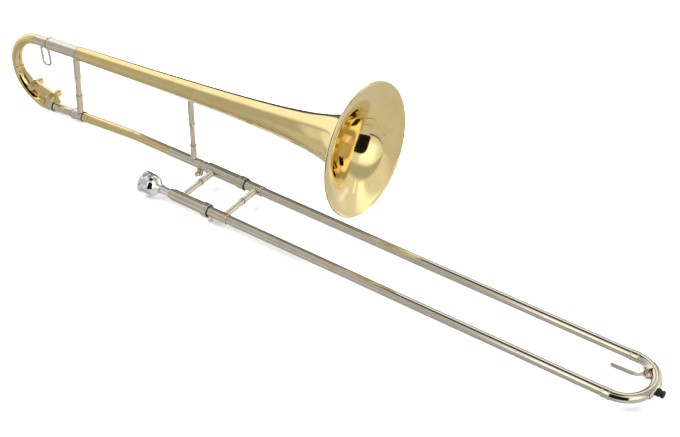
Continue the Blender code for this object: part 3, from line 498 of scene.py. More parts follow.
def foot(name, parent, at, host, tall, rod, flange, turn=(0, 0, 0), lean=0.0):
    """A brace socket on a tube along local X, reaching out along local Z and leaning towards X.

    host(x) is the tube's radius; tall is measured from the tube's axis along the brace.
    """
    post = rod + 0.0008
    rim, bore, depth = post + 0.0006, rod + GAP, 0.006
    start = host(0) * 0.6
    half, wide = flange
    shape = along_z(spun([
        (start, 0), (start, post), (tall - 0.0022, post), (tall - 0.0016, rim), (tall, rim),
        (tall, bore), (tall - depth, bore), (tall - depth, 0),
    ], 56))
    item = node(name, moved(shape, Matrix.Rotation(lean, 4, "Y")), NICKEL, parent, at, turn)
    shift = tan(lean) * host(0)

    def place(u, v, w):
        x = (2 * u - 1) * half + shift
        angle = (2 * v - 1) * wide * (1 - 0.88 * abs(2 * u - 1)) / host(0)
        r = host(x) - 0.0012 + w * (0.0012 + GAP + 0.0009)
        return Vector((x, r * sin(angle), r * cos(angle)))

    joined(item, patch(28, 28, place))
    ends = (-2 * half, 0.0, 2 * half)
    cutter = spun([(ends[0], 0)] + [(x, host(x) + GAP) for x in ends] + [(ends[-1], 0)], 128, 0)
    cut(item, cutter)


def rod_between(name, parent, at, turn, start, end, radius):
    chamfer = radius * 0.15
    profile = [
        (start, 0), (start, radius - chamfer), (start + chamfer, radius),
        (end - chamfer, radius), (end, radius - chamfer), (end, 0),
    ]
    node(name, along_z(spun(profile, 56)), NICKEL, parent, at, turn)


def slide_brace(prefix, parent, x, host, post, near_end, far_end):
    """Two sockets and the rod between the two slide tubes, along Y."""
    up, down = (-pi / 2, 0, 0), (pi / 2, 0, 0)
    rod = post - 0.0008
    near = (x, NEAR[1], 0)
    flange = (0.0072, 0.0060)
    foot(prefix + "_foot_near", parent, near, lambda _: host, near_end, rod, flange, up)
    foot(prefix + "_foot_far", parent, (x, 0, 0), lambda _: host, far_end, rod, flange, down)
    reach = SLIDE_SPACING - far_end
    rod_between(prefix + "_rod", parent, near, up, near_end - ROD_IN, reach + ROD_IN, rod)


def inner_slide(root):
    tenon_r = RECEIVER_BORE - GAP
    tenon_bore = tenon_r - 0.0009
    tube_seat = INNER_R + GAP
    tube_x = PLUG_END - 0.020
    node("slide_tenon", tube(
        [(-TENON_LENGTH, tenon_r - 0.0003), (0.001 - TENON_LENGTH, tenon_r), (-0.0009, tenon_r),
         (-0.0009, RECEIVER_R + 0.0006), (0.0003, RECEIVER_R + 0.0006), (0.0003, RECEIVER_R),
         (PLUG_X, RECEIVER_R), (PLUG_X, PLUG_R), (PLUG_END, PLUG_R)],
        [(-TENON_LENGTH, tenon_bore), (tube_x - GAP, tenon_bore), (tube_x - GAP, tube_seat),
         (PLUG_END, tube_seat)]), NICKEL, root)
    rear = RECEIVER_BORE + WALL + 0.0002
    node("mouthpiece_receiver", tube(
        [(RECEIVER_X, rear - 0.0006), (RECEIVER_X + 0.0008, rear), (PLUG_X, rear),
         (PLUG_X, PLUG_R), (PLUG_END, PLUG_R)],
        [(RECEIVER_X, shank_radius(RECEIVER_X) + GAP),
         (SHANK_END + GAP, shank_radius(SHANK_END) + GAP), (SHANK_END + GAP, tube_seat),
         (PLUG_END, tube_seat)]), NICKEL, root, NEAR)
    for (side, at), mouth in zip(SIDES, (rear + GAP, RECEIVER_R + GAP)):
        node(side + "_barrel", tube(
            [(BARREL_X, BARREL_R - 0.0005), (BARREL_X + 0.0006, BARREL_R), (BARREL_END, BARREL_R)],
            [(BARREL_X, mouth), (BARREL_X + LIP, mouth), (BARREL_X + LIP, BARREL_BORE),
             (BARREL_END, BARREL_BORE)]), NICKEL, root, at)
        node(side + "_felt", ring(FELT_X, FELT_X + FELT_LENGTH, tube_seat, PLUG_R), FELT_AND_SHADE, root, at)
        start = SHANK_END + 2 * GAP if side == "near" else tube_x
        node("inner_tube_" + side, sleeve(
            [(start, INNER_R), (INNER_END - STOCKING_LENGTH, INNER_R),
             (INNER_END - STOCKING_LENGTH + 0.004, INNER_R + STOCKING),
             (INNER_END - 0.001, INNER_R + STOCKING), (INNER_END, INNER_R)],
            INNER_R - INNER_WALL), NICKEL, root, at)
    pipe = INNER_R - INNER_WALL - GAP
    pipe_x = SHANK_END + 3 * GAP
    node("leadpipe", tube([(pipe_x, pipe), (pipe_x + LEADPIPE_LENGTH, pipe)],
                          [(pipe_x, pipe - 0.0010), (pipe_x + LEADPIPE_LENGTH, pipe - 0.0004)]),
         BRASS, root, NEAR)
    low, high = BARREL_R + GAP + WALL, BARREL_R + 0.0012
    band = shifted(BARREL_END + STUD_X, (
        (-0.0119, low), (-0.0113, high), (-0.0030, high), (-0.0025, low), (0, low)))
    node("far_barrel_ring", sleeve(band, BARREL_R + GAP), NICKEL, root)
    slide_brace("inner_brace", root, 0.0215, BARREL_R, 0.0050, 0.0445, 0.0360)


LOCK_TURN = -136
STUD_TURN = LOCK_TURN - 40


def slide_lock(root):
    """A ring that turns on the near barrel, with a finger that reaches forward to catch the stud."""
    bore = BARREL_R + GAP
    start, end = BARREL_END - 0.0098, BARREL_END + 0.0004
    low, high = bore, bore + 0.0013
    profile = [(start, high - 0.0004), (start + 0.0005, high), (end - 0.0005, high), (end, high - 0.0004)]
    item = node("slide_lock_ring", sleeve(profile, low, 128), NICKEL, root)
    middle = radians(LOCK_TURN)

    def curved(steps, x, length, turns, r, thick):
        """A block bent round the barrel, between two turns in degrees from the middle."""
        def place(u, v, w):
            angle = middle + radians(turns[0] + (turns[1] - turns[0]) * v)
            out = r + w * thick
            return Vector((x + u * length, out * sin(angle), out * cos(angle)))

        return patch(*steps, place)

    joined(item, curved((16, 32), start + 0.003, end + 0.0106 - start - 0.003, (-17, 17),
                        low + 0.0002, 0.0016))
    joined(item, curved((12, 24), end + 0.0072, 0.0034, (-15, 15), low + 0.0012, 0.0036))
    cut(item, curved((8, 16), end + 0.0024, 0.0040, (-20, 10), low - 0.001, 0.0050))


def shank_radius(x):
    return SHANK_R - SHANK_TAPER * (x - RECEIVER_X)


def mouthpiece(axis):
    rim = RECEIVER_X - 0.0525
    waist = RECEIVER_X - 0.0170
    outer = shifted(rim, (
        (0.0006, 0.0134), (0, 0.0148), (0, 0.0162), (0.0008, 0.0176), (0.0024, 0.0182), (0.0050, 0.0181),
        (0.0062, 0.0174), (0.0090, 0.0172), (0.0150, 0.0172), (0.0205, 0.0166), (0.0250, 0.0149),
        (0.0285, 0.0120), (0.0308, 0.0088)))
    outer += shifted(waist, (
        (-0.0028, 0.0066), (-0.0012, 0.0066), (-0.0006, 0.0074), (0.0006, 0.0074),
        (0.0012, shank_radius(waist) - 0.0002)))
    tip = shank_radius(SHANK_END)
    outer += [(SHANK_END - 0.0004, tip), (SHANK_END, tip - 0.0003)]
    inner = shifted(rim, (
        (0.0018, 0.0127), (0.0070, 0.0121), (0.0125, 0.0105), (0.0175, 0.0080), (0.0215, 0.0048),
        (0.0235, 0.0033), (0.0280, 0.0032), (0.0500, 0.0038)))
    inner.append((SHANK_END, 0.0045))
    node("mouthpiece", tube(smooth(outer), smooth(inner), 160, 0), SILVER, axis)


def outer_slide(axis):
    bore = OUTER_R + GAP
    steps = (0.0003, 0.0016, 0.0019)
    for side, at in SIDES:
        node("outer_tube_" + side, ring(SLEEVE_X, TUBE_END, OUTER_BORE, OUTER_R), NICKEL, axis, at)
        rim = lip(SLEEVE_END, SLEEVE_R, 0.0004, (0.0004, 0.0017, 0.0022), -1)
        node("outer_sleeve_" + side, sleeve([(SLEEVE_X, SLEEVE_R)] + rim, bore), NICKEL, axis, at)
        high = bore + 0.0003
        ferrule = lip(TUBE_END - 0.0056, high, 0.0003, steps)
        ferrule += lip(TUBE_END + 0.0071, high, 0.0003, steps, -1)
        node("crook_ferrule_" + side, sleeve(ferrule, bore), NICKEL, axis, at)
    slide_brace("outer_brace", axis, SLEEVE_END - 0.0107, SLEEVE_R, 0.0050, 0.0450, 0.0365)
    crook(axis)
    guard_and_bumper(axis)
    lock_stud(axis)


def lock_stud(axis):
    at = (BARREL_END + STUD_X, *NEAR[1:])
    stud = node("slide_lock_stud", along_z(spun(
        [(SLEEVE_R * 0.7, 0), (SLEEVE_R * 0.7, 0.0020), (SLEEVE_R + 0.0011, 0.0020),
         (SLEEVE_R + 0.0011, 0.0013), (SLEEVE_R + 0.0042, 0.0013), (SLEEVE_R + 0.0042, 0)], 64)),
        NICKEL, axis, at, (-radians(STUD_TURN), 0, 0))
    cut(stud, bar(-0.006, 0.006, SLEEVE_R + GAP, 128))


def crook_frame(degrees):
    """Frame on the crook's centre line: X outward, Y along it, Z up."""
    centre = Matrix.Translation((CROOK_X, -BOW_R, 0))
    return centre @ Matrix.Rotation(radians(degrees), 4, "Z") @ Matrix.Translation((BOW_R, 0, 0))


def inward_frame(degrees):
    """The same, with X towards the middle of the bend."""
    return crook_frame(degrees) @ Matrix.Rotation(pi, 4, "Z")


QUARTER = Matrix.Rotation(pi / 2, 4, "Z")
BUMPER = -3
NIPPLE = 30
PIVOT = 50
PIVOT_IN = 0.0124
NIPPLE_TALL = 0.0026
SPRING_R = 0.0021
SPRING_WIRE_R = 0.00025
CORK_TALL = 0.0018


def crook(axis):
    runs = [(STUB, 0), (pi * BOW_R, pi), (STUB, 0)]
    frames = frames_along(runs, (4, 96, 4))
    stations = len(frames)
    item = node("crook", bent(frames, [OUTER_R] * stations, [OUTER_R - 0.0008] * stations),
                NICKEL, axis, (CROOK_X - STUB, *NEAR[1:]), (-pi / 2, 0, 0))
    drill = bar(0.0030, 0.0120, 0.0018, 48)
    cut(item, moved(drill, inward_frame(NIPPLE)), axis)


def guard_and_bumper(axis):
    low, face = OUTER_R + GAP, OUTER_R + GAP + 0.0008
    middle, half, wrap = 20, 42, radians(74)

    def place(u, v, w):
        swing = cos(pi * u)
        angle = (2 * v - 1) * wrap * (1 - 0.5 * swing ** 6)
        r = low + w * (face - low)
        return crook_frame(middle - half * swing) @ Vector((r * cos(angle), 0, r * sin(angle)))

    node("crook_guard", patch(72, 60, place), NICKEL, axis)
    local = crook_frame(BUMPER)
    stub = spun(shifted(face, (
        (-0.0030, 0), (-0.0030, 0.0036), (0.0027, 0.0036), (0.0030, 0.0033), (0.0030, 0))), 96)
    socket = node("bumper_socket", moved(stub, local), NICKEL, axis)
    rubber = spun(shifted(face, (
        (0.0030 + GAP, 0), (0.0030 + GAP, 0.0036 + GAP), (-0.0028, 0.0036 + GAP), (-0.0028, 0.0058),
        (0.0010, 0.0060), (0.0026, 0.0060), (0.0036, 0.0046), (0.0048, 0.0046), (0.0056, 0.0055),
        (0.0076, 0.0056), (0.0088, 0.0049), (0.0095, 0.0036), (0.0095, 0))), 96, 0.0004)
    bumper = node("rubber_bumper", moved(rubber, local), RUBBER, axis)
    for item in (socket, bumper):
        clearance = bar(-0.01, 0.01, face + GAP, 160)
        cut(item, moved(clearance, local @ QUARTER))


def pivot_point():
    return crook_frame(PIVOT) @ Vector((-PIVOT_IN, 0, 0))


def crook_clearance():
    """What the crook's tube takes away from a piece that stands on it."""
    return bar(-0.008, 0.008, OUTER_R + GAP + 0.0002, 160)


def pin_hole():
    return along_z(bar(-0.01, 0.01, 0.0013, 64))


def water_key_seat(axis):
    """The nipple, saddle, pin and spring that ride on the crook."""
    inward = inward_frame(NIPPLE)
    body = spun(shifted(OUTER_R, (
        (-0.0020, 0.0018), (-0.0020, 0.0040), (0.0014, 0.0040), (0.0014, 0.0030),
        (NIPPLE_TALL, 0.0027), (NIPPLE_TALL, 0.0018))), 64)
    nipple = node("water_key_nipple", moved(body, inward), NICKEL, axis)
    cut(nipple, moved(crook_clearance(), inward @ QUARTER))
    saddle_frame = inward_frame(PIVOT)
    body = block((0.002, -0.0034, -0.0072), (PIVOT_IN + 0.0028, 0.0034, 0.0072))
    saddle = node("water_key_saddle", moved(body, saddle_frame), NICKEL, axis)
    gap = block((PIVOT_IN - 0.0034, -0.006, -0.0048), (PIVOT_IN + 0.006, 0.006, 0.0048))
    cut(saddle, moved(gap, saddle_frame))
    cut(saddle, moved(crook_clearance(), saddle_frame @ QUARTER))
    at = pivot_point()
    cut(saddle, moved(pin_hole(), Matrix.Translation(at)))
    pin = along_z(spun([(-0.0086, 0), (-0.0086, 0.0010), (0.0075, 0.0010), (0.0075, 0.0019),
                        (0.0084, 0.0019), (0.0087, 0.0015), (0.0087, 0)], 64))
    node("water_key_pin", pin, STEEL, axis, at)
    node("water_key_spring", spring(), STEEL, axis, at)


def spring():
    """Wire wound twice round the pin, one end lying over the lever, one against the crook."""
    start, end, count = radians(-40), radians(773), 120
    low, high = 0.0016, 0.0041
    points = [Vector((-0.0048, -0.0072, low))]
    for k in range(count + 1):
        a = start + (end - start) * k / count
        points.append(Vector((SPRING_R * cos(a), SPRING_R * sin(a), low + (high - low) * k / count)))
    points.append(Vector((-0.0042, 0.0046, high)))
    return wire(points, SPRING_WIRE_R, 14)


def wire(points, radius, sides):
    rows = []
    for k, point in enumerate(points):
        run = (points[min(k + 1, len(points) - 1)] - points[max(k - 1, 0)]).normalized()
        side = run.cross(Vector((0, 0, 1))).normalized()
        up = side.cross(run)
        angles = [2 * pi * i / sides for i in range(sides)]
        rows.append([point + radius * (side * cos(a) + up * sin(a)) for a in angles])
    return extruded(rows)


def water_key(axis):
    """The lever that turns about the pin, with its cork, in a frame that stands at the pin."""
    nipple = inward_frame(NIPPLE)
    head = nipple @ Vector((OUTER_R + NIPPLE_TALL + GAP + CORK_TALL, 0, 0)) - pivot_point()
    inward = nipple.to_3x3() @ Vector((1, 0, 0))
    back = head + inward * 0.0010
    low, high = -0.0040, 0.0002
    stations = [
        (-0.0436, -0.0134, 0.0006, -0.0016, 0.0016), (-0.0426, -0.0134, 0.0008, -0.0031, 0.0031),
        (-0.0400, -0.0133, 0.0008, -0.0035, 0.0035), (-0.0130, -0.0122, 0.0008, -0.0035, 0.0035),
        (-0.0092, -0.0112, 0.0009, -0.0034, 0.0026), (-0.0060, -0.0094, 0.0011, low, 0.0008),
        (-0.0028, -0.0058, 0.0013, low, high), (0.0004, -0.0036, 0.0013, low, high),
        (back.x * 0.55, back.y * 0.60, 0.0013, low, high), (back.x, back.y, 0.0012, low, high),
    ]
    item = node("water_key_lever", strip(stations), NICKEL, axis)
    joined(item, along_z(bar(low - GAP, high + GAP, 0.0026, 64)))
    place = Matrix.Translation(head) @ inward.to_track_quat("X", "Z").to_matrix().to_4x4()
    cup = spun([(0.0, 0), (0.0, 0.0037), (0.0012, 0.0037), (0.0016, 0.0032), (0.0016, 0)], 64)
    joined(item, moved(cup, place))
    cut(item, pin_hole())
    node("water_key_cork", moved(bar(-CORK_TALL, -GAP, 0.0033, 64), place), CORK, axis)


def bell_radius(t):
    """Outer radius of the bell at t, measured along its axis."""
    behind = max(BELL_RIM_T - BEAD_R - t, 0)
    return BELL_RADIUS * (FLARE_OFFSET / (behind + FLARE_OFFSET)) ** FLARE_POWER


def bell_profile():
    last = BELL_RIM_T - BEAD_R - 0.0009
    count = 110
    outer = []
    for k in range(count + 1):
        behind = (BELL_LENGTH - BEAD_R - 0.0009) * (1 - k / count) ** 2.6
        outer.append((last - behind, bell_radius(last - behind)))
    inner = []
    for k, (t, r) in enumerate(outer):
        a, b = outer[max(k - 1, 0)], outer[min(k + 1, count)]
        run = Vector((b[0] - a[0], b[1] - a[1])).normalized()
        inner.append((t + run.y * BELL_WALL, r - run.x * BELL_WALL))
    inner[0] = (TAIL_T, outer[0][1] - BELL_WALL)
    centre = (BELL_RIM_T - BEAD_R, BELL_RADIUS - BEAD_R)
    bead = [(centre[0] + BEAD_R * cos(a), centre[1] + BEAD_R * sin(a))
            for a in [radians(d) for d in range(200, 0, -10)]]
    return outer + bead, inner


def bell_section(swivel, bell_frame):
    outer, inner = bell_profile()
    node("bell", tube(outer, inner, 256, 0), BRASS, bell_frame, HIGH)
    radius, band = UPPER_RECEIVER_R, (0.0003, 0.0019, 0.0022)
    upper = lip(TAIL_T - 0.0650, radius, 0.0005, band) + shifted(TAIL_T, (
        (-0.0016, radius), (-0.0014, radius + 0.0010), (-GAP, radius + 0.0010),
        (-GAP, radius - 0.0002), (0.0100, radius - 0.0002)))
    node("tuning_receiver_upper", sleeve(upper, UPPER_RECEIVER_BORE), NICKEL, bell_frame, HIGH)
    start, end, radius = TAIL_T - 0.0368, TAIL_T - 0.0152, LOWER_RECEIVER_R
    lower = lip(start, radius, 0.0005, band) + lip(end, radius, 0.0003, (0.0002, 0.0012, 0.0015), -1)
    node("tuning_receiver_lower", tube(lower, [
        (start, LEG_LOWER_R + GAP), (start + 0.0012, LEG_LOWER_R + GAP),
        (start + 0.0012, NECK_REAR_R + GAP), (end, NECK_REAR_R + GAP)]), NICKEL, bell_frame)
    neckpipe(bell_frame, start + 0.0015)
    bell_receiver(swivel)
    braces(swivel, bell_frame)


def neckpipe(bell_frame, start):
    front = -0.0682 - BEND_X
    runs = [(-BEND_HALF - start, 0), (2 * BEND_HALF, -BELL_PITCH), (front - BEND_HALF, 0),
            (0.0004, 0), (0.0078, 0)]
    frames = frames_along(runs, (2, 24, 1, 1, 1))
    tip = RECEIVER_BORE - GAP
    outer = [NECK_REAR_R, NECK_REAR_R, NECK_REAR_R - 0.0001] + [NECK_R + 0.0001] * 12
    outer += [NECK_R] * 13 + [tip, tip]
    bore = LEG_LOWER_R + GAP
    inner = [bore, bore, bore] + [bore - 0.0003] * 12 + [bore - 0.0006] * 12 + [tip - 0.0008] * 3
    node("neckpipe", bent(frames, outer, inner), BRASS, bell_frame, (start, 0, 0))


CLAMP_OUT = 0.0150
CLAMP_X = -0.0058
CLAMP_TURN = radians(66)
EAR_HALF = 0.0036


def bell_receiver(swivel):
    """The socket over the slide's tenon, split and closed by the clamp's ears."""
    start, end = -0.0679, -0.0012
    item = node("bell_receiver", sleeve(
        [(start, RECEIVER_R), (end - 0.0012, RECEIVER_R), (end - 0.0010, RECEIVER_R + 0.0005),
         (end, RECEIVER_R + 0.0005)], RECEIVER_BORE, 128), NICKEL, swivel)
    ears, root = clamp_frame(), CLAMP_OUT - RECEIVER_R + 0.0002
    outline = [(-0.0042, root), (-0.0042, -0.0012), (-0.0026, -0.0032), (0.0026, -0.0032),
               (0.0042, -0.0012), (0.0042, root)]
    joined(item, moved(plate(outline, -EAR_HALF, EAR_HALF), ears))
    slot = block((-0.0075, -0.0008, -0.01), (0.01 - CLAMP_X, 0.0008, CLAMP_OUT - 0.004))
    cut(item, moved(slot, ears))
    cut(item, moved(bar(-0.01, 0.01, 0.0018, 64), ears @ QUARTER))


def clamp_frame():
    turn = Matrix.Rotation(CLAMP_TURN - pi / 2, 4, "X")
    return turn @ Matrix.Translation((CLAMP_X, 0, -CLAMP_OUT))


def bell_clamp(swivel):
    place = clamp_frame() @ Matrix.Rotation(-pi / 2, 4, "Z")
    nut = spun([(-0.0065, 0.0016 + GAP), (-0.0065, 0.0029), (-EAR_HALF - GAP, 0.0032),
                (-EAR_HALF - GAP, 0.0016 + GAP)], 6)
    node("bell_clamp_nut", moved(nut, place), BRASS, swivel)
    shank, top = 0.0014, EAR_HALF + GAP
    profile = [(-0.0078, 0), (-0.0078, shank), (top, shank)] + shifted(top, (
        (0, 0.0026), (0.0012, 0.0026), (0.0014, 0.0036), (0.0019, 0.0040), (0.0046, 0.0040),
        (0.0054, 0.0032), (0.0056, 0)))
    node("bell_clamp_screw", spun(profile), NICKEL, swivel @ place)


def braces(swivel, bell_frame):
    level, rise = cos(BELL_PITCH), sin(BELL_PITCH)
    low = (-0.0204, 0, 0)
    reach_t = (low[0] - BEND_X + BELL_SPACING * rise) / level
    length = reach_t * rise + BELL_SPACING * level
    rod = 0.0041
    foot("front_brace_foot_bottom", swivel, low, lambda _: RECEIVER_R, 0.0325, rod, (0.0065, 0.0055))
    foot("front_brace_foot_top", bell_frame, (reach_t, 0, BELL_SPACING),
         lambda x: bell_radius(reach_t + x), length - 0.0693, rod, (0.0080, 0.0075),
         (pi, 0, 0), -BELL_PITCH)
    rod_between("front_brace_rod", swivel, low, (0, 0, 0), 0.0275, 0.0748, rod)
    low_t, high_t = TAIL_T - 0.0222, TAIL_T - 0.0082
    lean = atan2(high_t - low_t, BELL_SPACING)
    rear = 0.0048
    span = BELL_SPACING / cos(lean)
    foot("rear_brace_foot_bottom", bell_frame, (low_t, 0, 0),
         lambda _: LOWER_RECEIVER_R + GAP, 0.0420, rear, (0.0060, 0.0068), lean=lean)
    foot("rear_brace_foot_top", bell_frame, (high_t, 0, BELL_SPACING),
         lambda _: UPPER_RECEIVER_R, span - 0.0745, rear, (0.0056, 0.0072), (pi, 0, 0), -lean)
    rod_between("rear_brace_rod", bell_frame, (low_t, 0, 0), (0, lean, 0), 0.0420 - ROD_IN,
                0.0745 + ROD_IN, rear)


BOW_STEPS = 48
BOW_START = 2


def bow_frame(degrees):
    """Frame on the bow's centre line: 0 at the upper leg, 180 at the lower, X along the air's way."""
    a, middle = radians(degrees), BELL_SPACING / 2
    side = BOW_TOP_T if degrees <= 90 else BOW_LOW_T
    depth = side - BOW_BACK_T
    spot = (side - depth * sin(a), 0, middle + middle * cos(a))
    heading = atan2(-middle * sin(a), -depth * cos(a))
    return Matrix.Translation(spot) @ Matrix.Rotation(-heading, 4, "Y")


def bow_frames():
    steps = 2 * BOW_STEPS
    turns = [BOW_START] + [180 * k / steps for k in range(1, steps + 1)]
    return [bow_frame(turn) for turn in turns] + [Matrix.Translation((BOW_LOW_T + BOW_STUB, 0, 0))]


BOW_UPPER_R = 0.0088
BOW_LOWER_R = 0.0080
BOW_WALL = 0.0007


def bow_radius(share):
    return BOW_UPPER_R + (BOW_LOWER_R - BOW_UPPER_R) * max(0, (share - 0.5) * 2) ** 1.5


def tuning_slide(axis):
    frames = bow_frames()
    last = len(frames) - 1
    outer = [bow_radius(k / last) for k in range(last + 1)]
    node("tuning_bow", bent(frames, outer, [r - BOW_WALL for r in outer]), BRASS, axis)
    spigot = BOW_UPPER_R - BOW_WALL - GAP
    seam = BOW_START - 0.4
    way = [bow_frame(turn) for turn in (BOW_START + 4, seam, seam, seam / 2, 0)]
    way.append(Matrix.Translation((TAIL_T - 0.0020, 0, BELL_SPACING)) @ Matrix.Rotation(pi, 4, "Y"))
    radii = [spigot, spigot] + [LEG_UPPER_R] * 4
    node("tuning_leg_upper", bent(way, radii, [spigot - 0.0007] * 6), NICKEL, axis)
    low_end = BOW_LOW_T + BOW_STUB
    node("tuning_leg_lower",
         ring(low_end - 0.0060, LEG_TIP_T, LEG_LOWER_R - WALL, LEG_LOWER_R), NICKEL, axis)
    start, end = low_end + GAP, LEG_END_T
    steps = (0.0003, 0.0015, 0.0018)
    band = lip(start, BOW_LOWER_R, 0.0004, steps) + lip(end, BOW_LOWER_R, 0.0004, steps, -1)
    band[-1] = (end, BOW_LOWER_R - 0.0002)
    node("tuning_leg_ring", sleeve(band, LEG_LOWER_R + GAP), NICKEL, axis)
    pull_ring(axis)
    counterweight(axis)


def rounded(cx, cz, half_x, half_z, corner, steps=14):
    points = []
    for quarter, (sx, sz) in enumerate(((1, 1), (-1, 1), (-1, -1), (1, -1))):
        for k in range(steps + 1):
            a = radians(90 * quarter + 90 * k / steps)
            points.append((cx + sx * (half_x - corner) + corner * cos(a),
                           cz + sz * (half_z - corner) + corner * sin(a)))
    return points


def pull_ring(axis):
    """A plain stirrup under the upper leg for one finger."""
    middle, top = TAIL_T - 0.0787, BELL_SPACING - LEG_UPPER_R
    half_z = 0.0182
    centre = top - half_z + 0.0015
    stirrup = plate(rounded(middle, centre, 0.0098, half_z, 0.0075), -0.0014, 0.0014)
    item = node("pull_ring", stirrup, NICKEL, axis)
    opening = plate(rounded(middle, centre - 0.0004, 0.0066, half_z - 0.0036, 0.0048), -0.004, 0.004)
    cut(item, opening)
    leg = bar(-0.02, 0.02, LEG_UPPER_R + GAP, 160)
    cut(item, moved(leg, Matrix.Translation((middle, *HIGH[1:]))))


WEIGHTS = ((TAIL_T - 0.1179, 0.0318), (TAIL_T - 0.0790, 0.0205))


def counterweight(axis):
    """A plate inside the bow whose lower edge rides on the tube, with two bolts and weights."""
    frames = bow_frames()
    last = len(frames) - 1
    rows = list(range(BOW_STEPS + 1, last - 1))
    wrap, thick, half = radians(62), 0.0012, 0.0022

    def place(u, v, w):
        k = rows[round(u * (len(rows) - 1))]
        angle = (2 * v - 1) * wrap
        r = bow_radius(k / last) + GAP + w * thick
        return frames[k] @ Vector((0, r * sin(angle), r * cos(angle)))

    item = node("counterweight_saddle", patch(len(rows) - 1, 40, place), BRASS, axis)
    inner_edge = [frames[k] @ Vector((0, 0, bow_radius(k / last) + GAP + thick / 2)) for k in rows]
    outline = [(p.x, p.z) for p in inner_edge[1:-1]]
    (t1, b1), (t2, b2) = WEIGHTS
    outline += [(TAIL_T - 0.0675, outline[-1][1]), (TAIL_T - 0.0650, outline[-1][1] + 0.0035),
                (t2 + 0.0062, b2 + 0.0035), (t2 + 0.0020, b2 + 0.0066),
                (t1 + 0.0022, b1 + 0.0068), (t1 - 0.0050, b1 + 0.0070)]
    joined(item, plate(outline, -half, half))
    for number, (t, b) in enumerate(WEIGHTS, 1):
        turn = Matrix.Translation((t, 0, b)) @ QUARTER
        cut(item, moved(bar(-0.01, 0.01, 0.0026, 64), turn))
        bolt = spun([(-0.0135, 0), (-0.0135, 0.0060), (-0.0127, 0.0072), (-half - GAP, 0.0072),
                     (-half - GAP, 0.0022), (0.0085, 0.0022), (0.0085, 0)], 6)
        node("counterweight_bolt_%d" % number, moved(bolt, turn), BRASS, axis)
        weight = spun(shifted(half + GAP, (
            (0, 0.0026), (0, 0.0060), (0.0112, 0.0060), (0.0120, 0.0052), (0.0120, 0.0026),
            (0.0090, 0.0026), (0.0090, 0.0025), (0.0070, 0.0025))))
        node("counterweight_weight_%d" % number, moved(weight, turn), BRASS, axis)


def smooth(points, steps=7):
    """A rounder outline through the points, with a cubic curve between each two."""
    result = []
    last = len(points) - 1
    for k in range(last):
        a, b, c, d = [Vector(points[min(max(k + i, 0), last)]) for i in (-1, 0, 1, 2)]
        for j in range(steps):
            t = j / steps
            result.append(0.5 * (2 * b + (c - a) * t + (2 * a - 5 * b + 4 * c - d) * t ** 2
                                 + (3 * b - a - 3 * c + d) * t ** 3))
    return [(p.x, p.y) for p in result] + [points[-1]]


def model():
    root = Matrix.Translation(JOINTS["bell_swivel"]["pos_m"])
    inner_slide(root)
    slide_lock(seat(root, NEAR))
    mouthpiece(seat(root, NEAR))
    outer_slide(root)
    water_key_seat(root)
    water_key(seat(root, pivot_point()))
    bell_frame = seat(root, (BEND_X, 0, 0), (0, -BELL_PITCH, 0))
    bell_section(root, bell_frame)
    bell_clamp(root)
    tuning_slide(bell_frame)


# Painted shade that the plain parts lack: dark rings at the barrel mouths and in the joints


def seam(name, like, x, inner, outer, at=(0, 0, 0)):
    """Painted shade in a joint: a narrow dark ring that just shows, standing for the shade in the gap
    between two pieces.
    """
    bm = ring(x - SEAM_HALF, x + SEAM_HALF, inner, outer, SEAM_HALF / 3)
    extra("seam_" + name, bm, JOINT_SHADE, PARENTS["fine_" + like], like, at)


def mouth_shade_ring(side, x, outer, at):
    """Painted shade at a barrel's mouth: a black ring in the felt material round the sleeve, standing for
    the dark gap there.
    """
    bm = sleeve([(x, outer), (x + 0.0007, outer - 0.0002)], SLEEVE_R + GAP)
    extra("mouth_shade_ring_" + side, bm, FELT_AND_SHADE, PARENTS["fine_" + side + "_barrel"], side + "_barrel", at)


def paint_shade_rings():
    # painted shade: black rings at the barrel mouths, then dark rings in the joints
    mouth_shade_ring("near", BARREL_END + 0.0001, BARREL_R + 0.0006, NEAR)
    mouth_shade_ring("far", BARREL_END + 0.0049, BARREL_R + 0.0007, (0, 0, 0))
    seam("upper_receiver_back", "tuning_receiver_upper", TAIL_T - 0.0653, LEG_UPPER_R + 0.0001,
         UPPER_RECEIVER_R + 0.0008, HIGH)
    seam("upper_receiver_front", "tuning_receiver_upper", TAIL_T - 0.0001, UPPER_RECEIVER_R - 0.0003,
         UPPER_RECEIVER_R + 0.0013, HIGH)
    seam("lower_receiver_back", "tuning_receiver_lower", TAIL_T - 0.0371, LEG_LOWER_R + 0.0001,
         LOWER_RECEIVER_R + 0.0003)
    seam("lower_receiver_front", "tuning_receiver_lower", TAIL_T - 0.0150, NECK_REAR_R + 0.0001,
         LOWER_RECEIVER_R + 0.0001)
    ring_back = BOW_LOW_T + BOW_STUB + GAP
    for name, x in (("back", ring_back - 0.0002), ("front", LEG_END_T + 0.0002)):
        seam("leg_ring_" + name, "tuning_leg_ring", x, LEG_LOWER_R + 0.0001, BOW_LOWER_R + 0.0002)
    seam("bell_joint", "bell_receiver", -0.00128, RECEIVER_BORE, RECEIVER_R + 0.0005)


def shade():
    """Smooth faces, sharp only past 32 degrees, with even normals on flats beside small rounds."""
    for name in PLACES:
        item = bpy.data.objects[name]
        item.data.shade_smooth()
        item.data.set_sharp_from_angle(angle=radians(32))
        if name not in ("fine_bell", "fine_mouthpiece"):
            even = item.modifiers.new("even", "WEIGHTED_NORMAL")
            even.keep_sharp = True


# Camera, floor and light


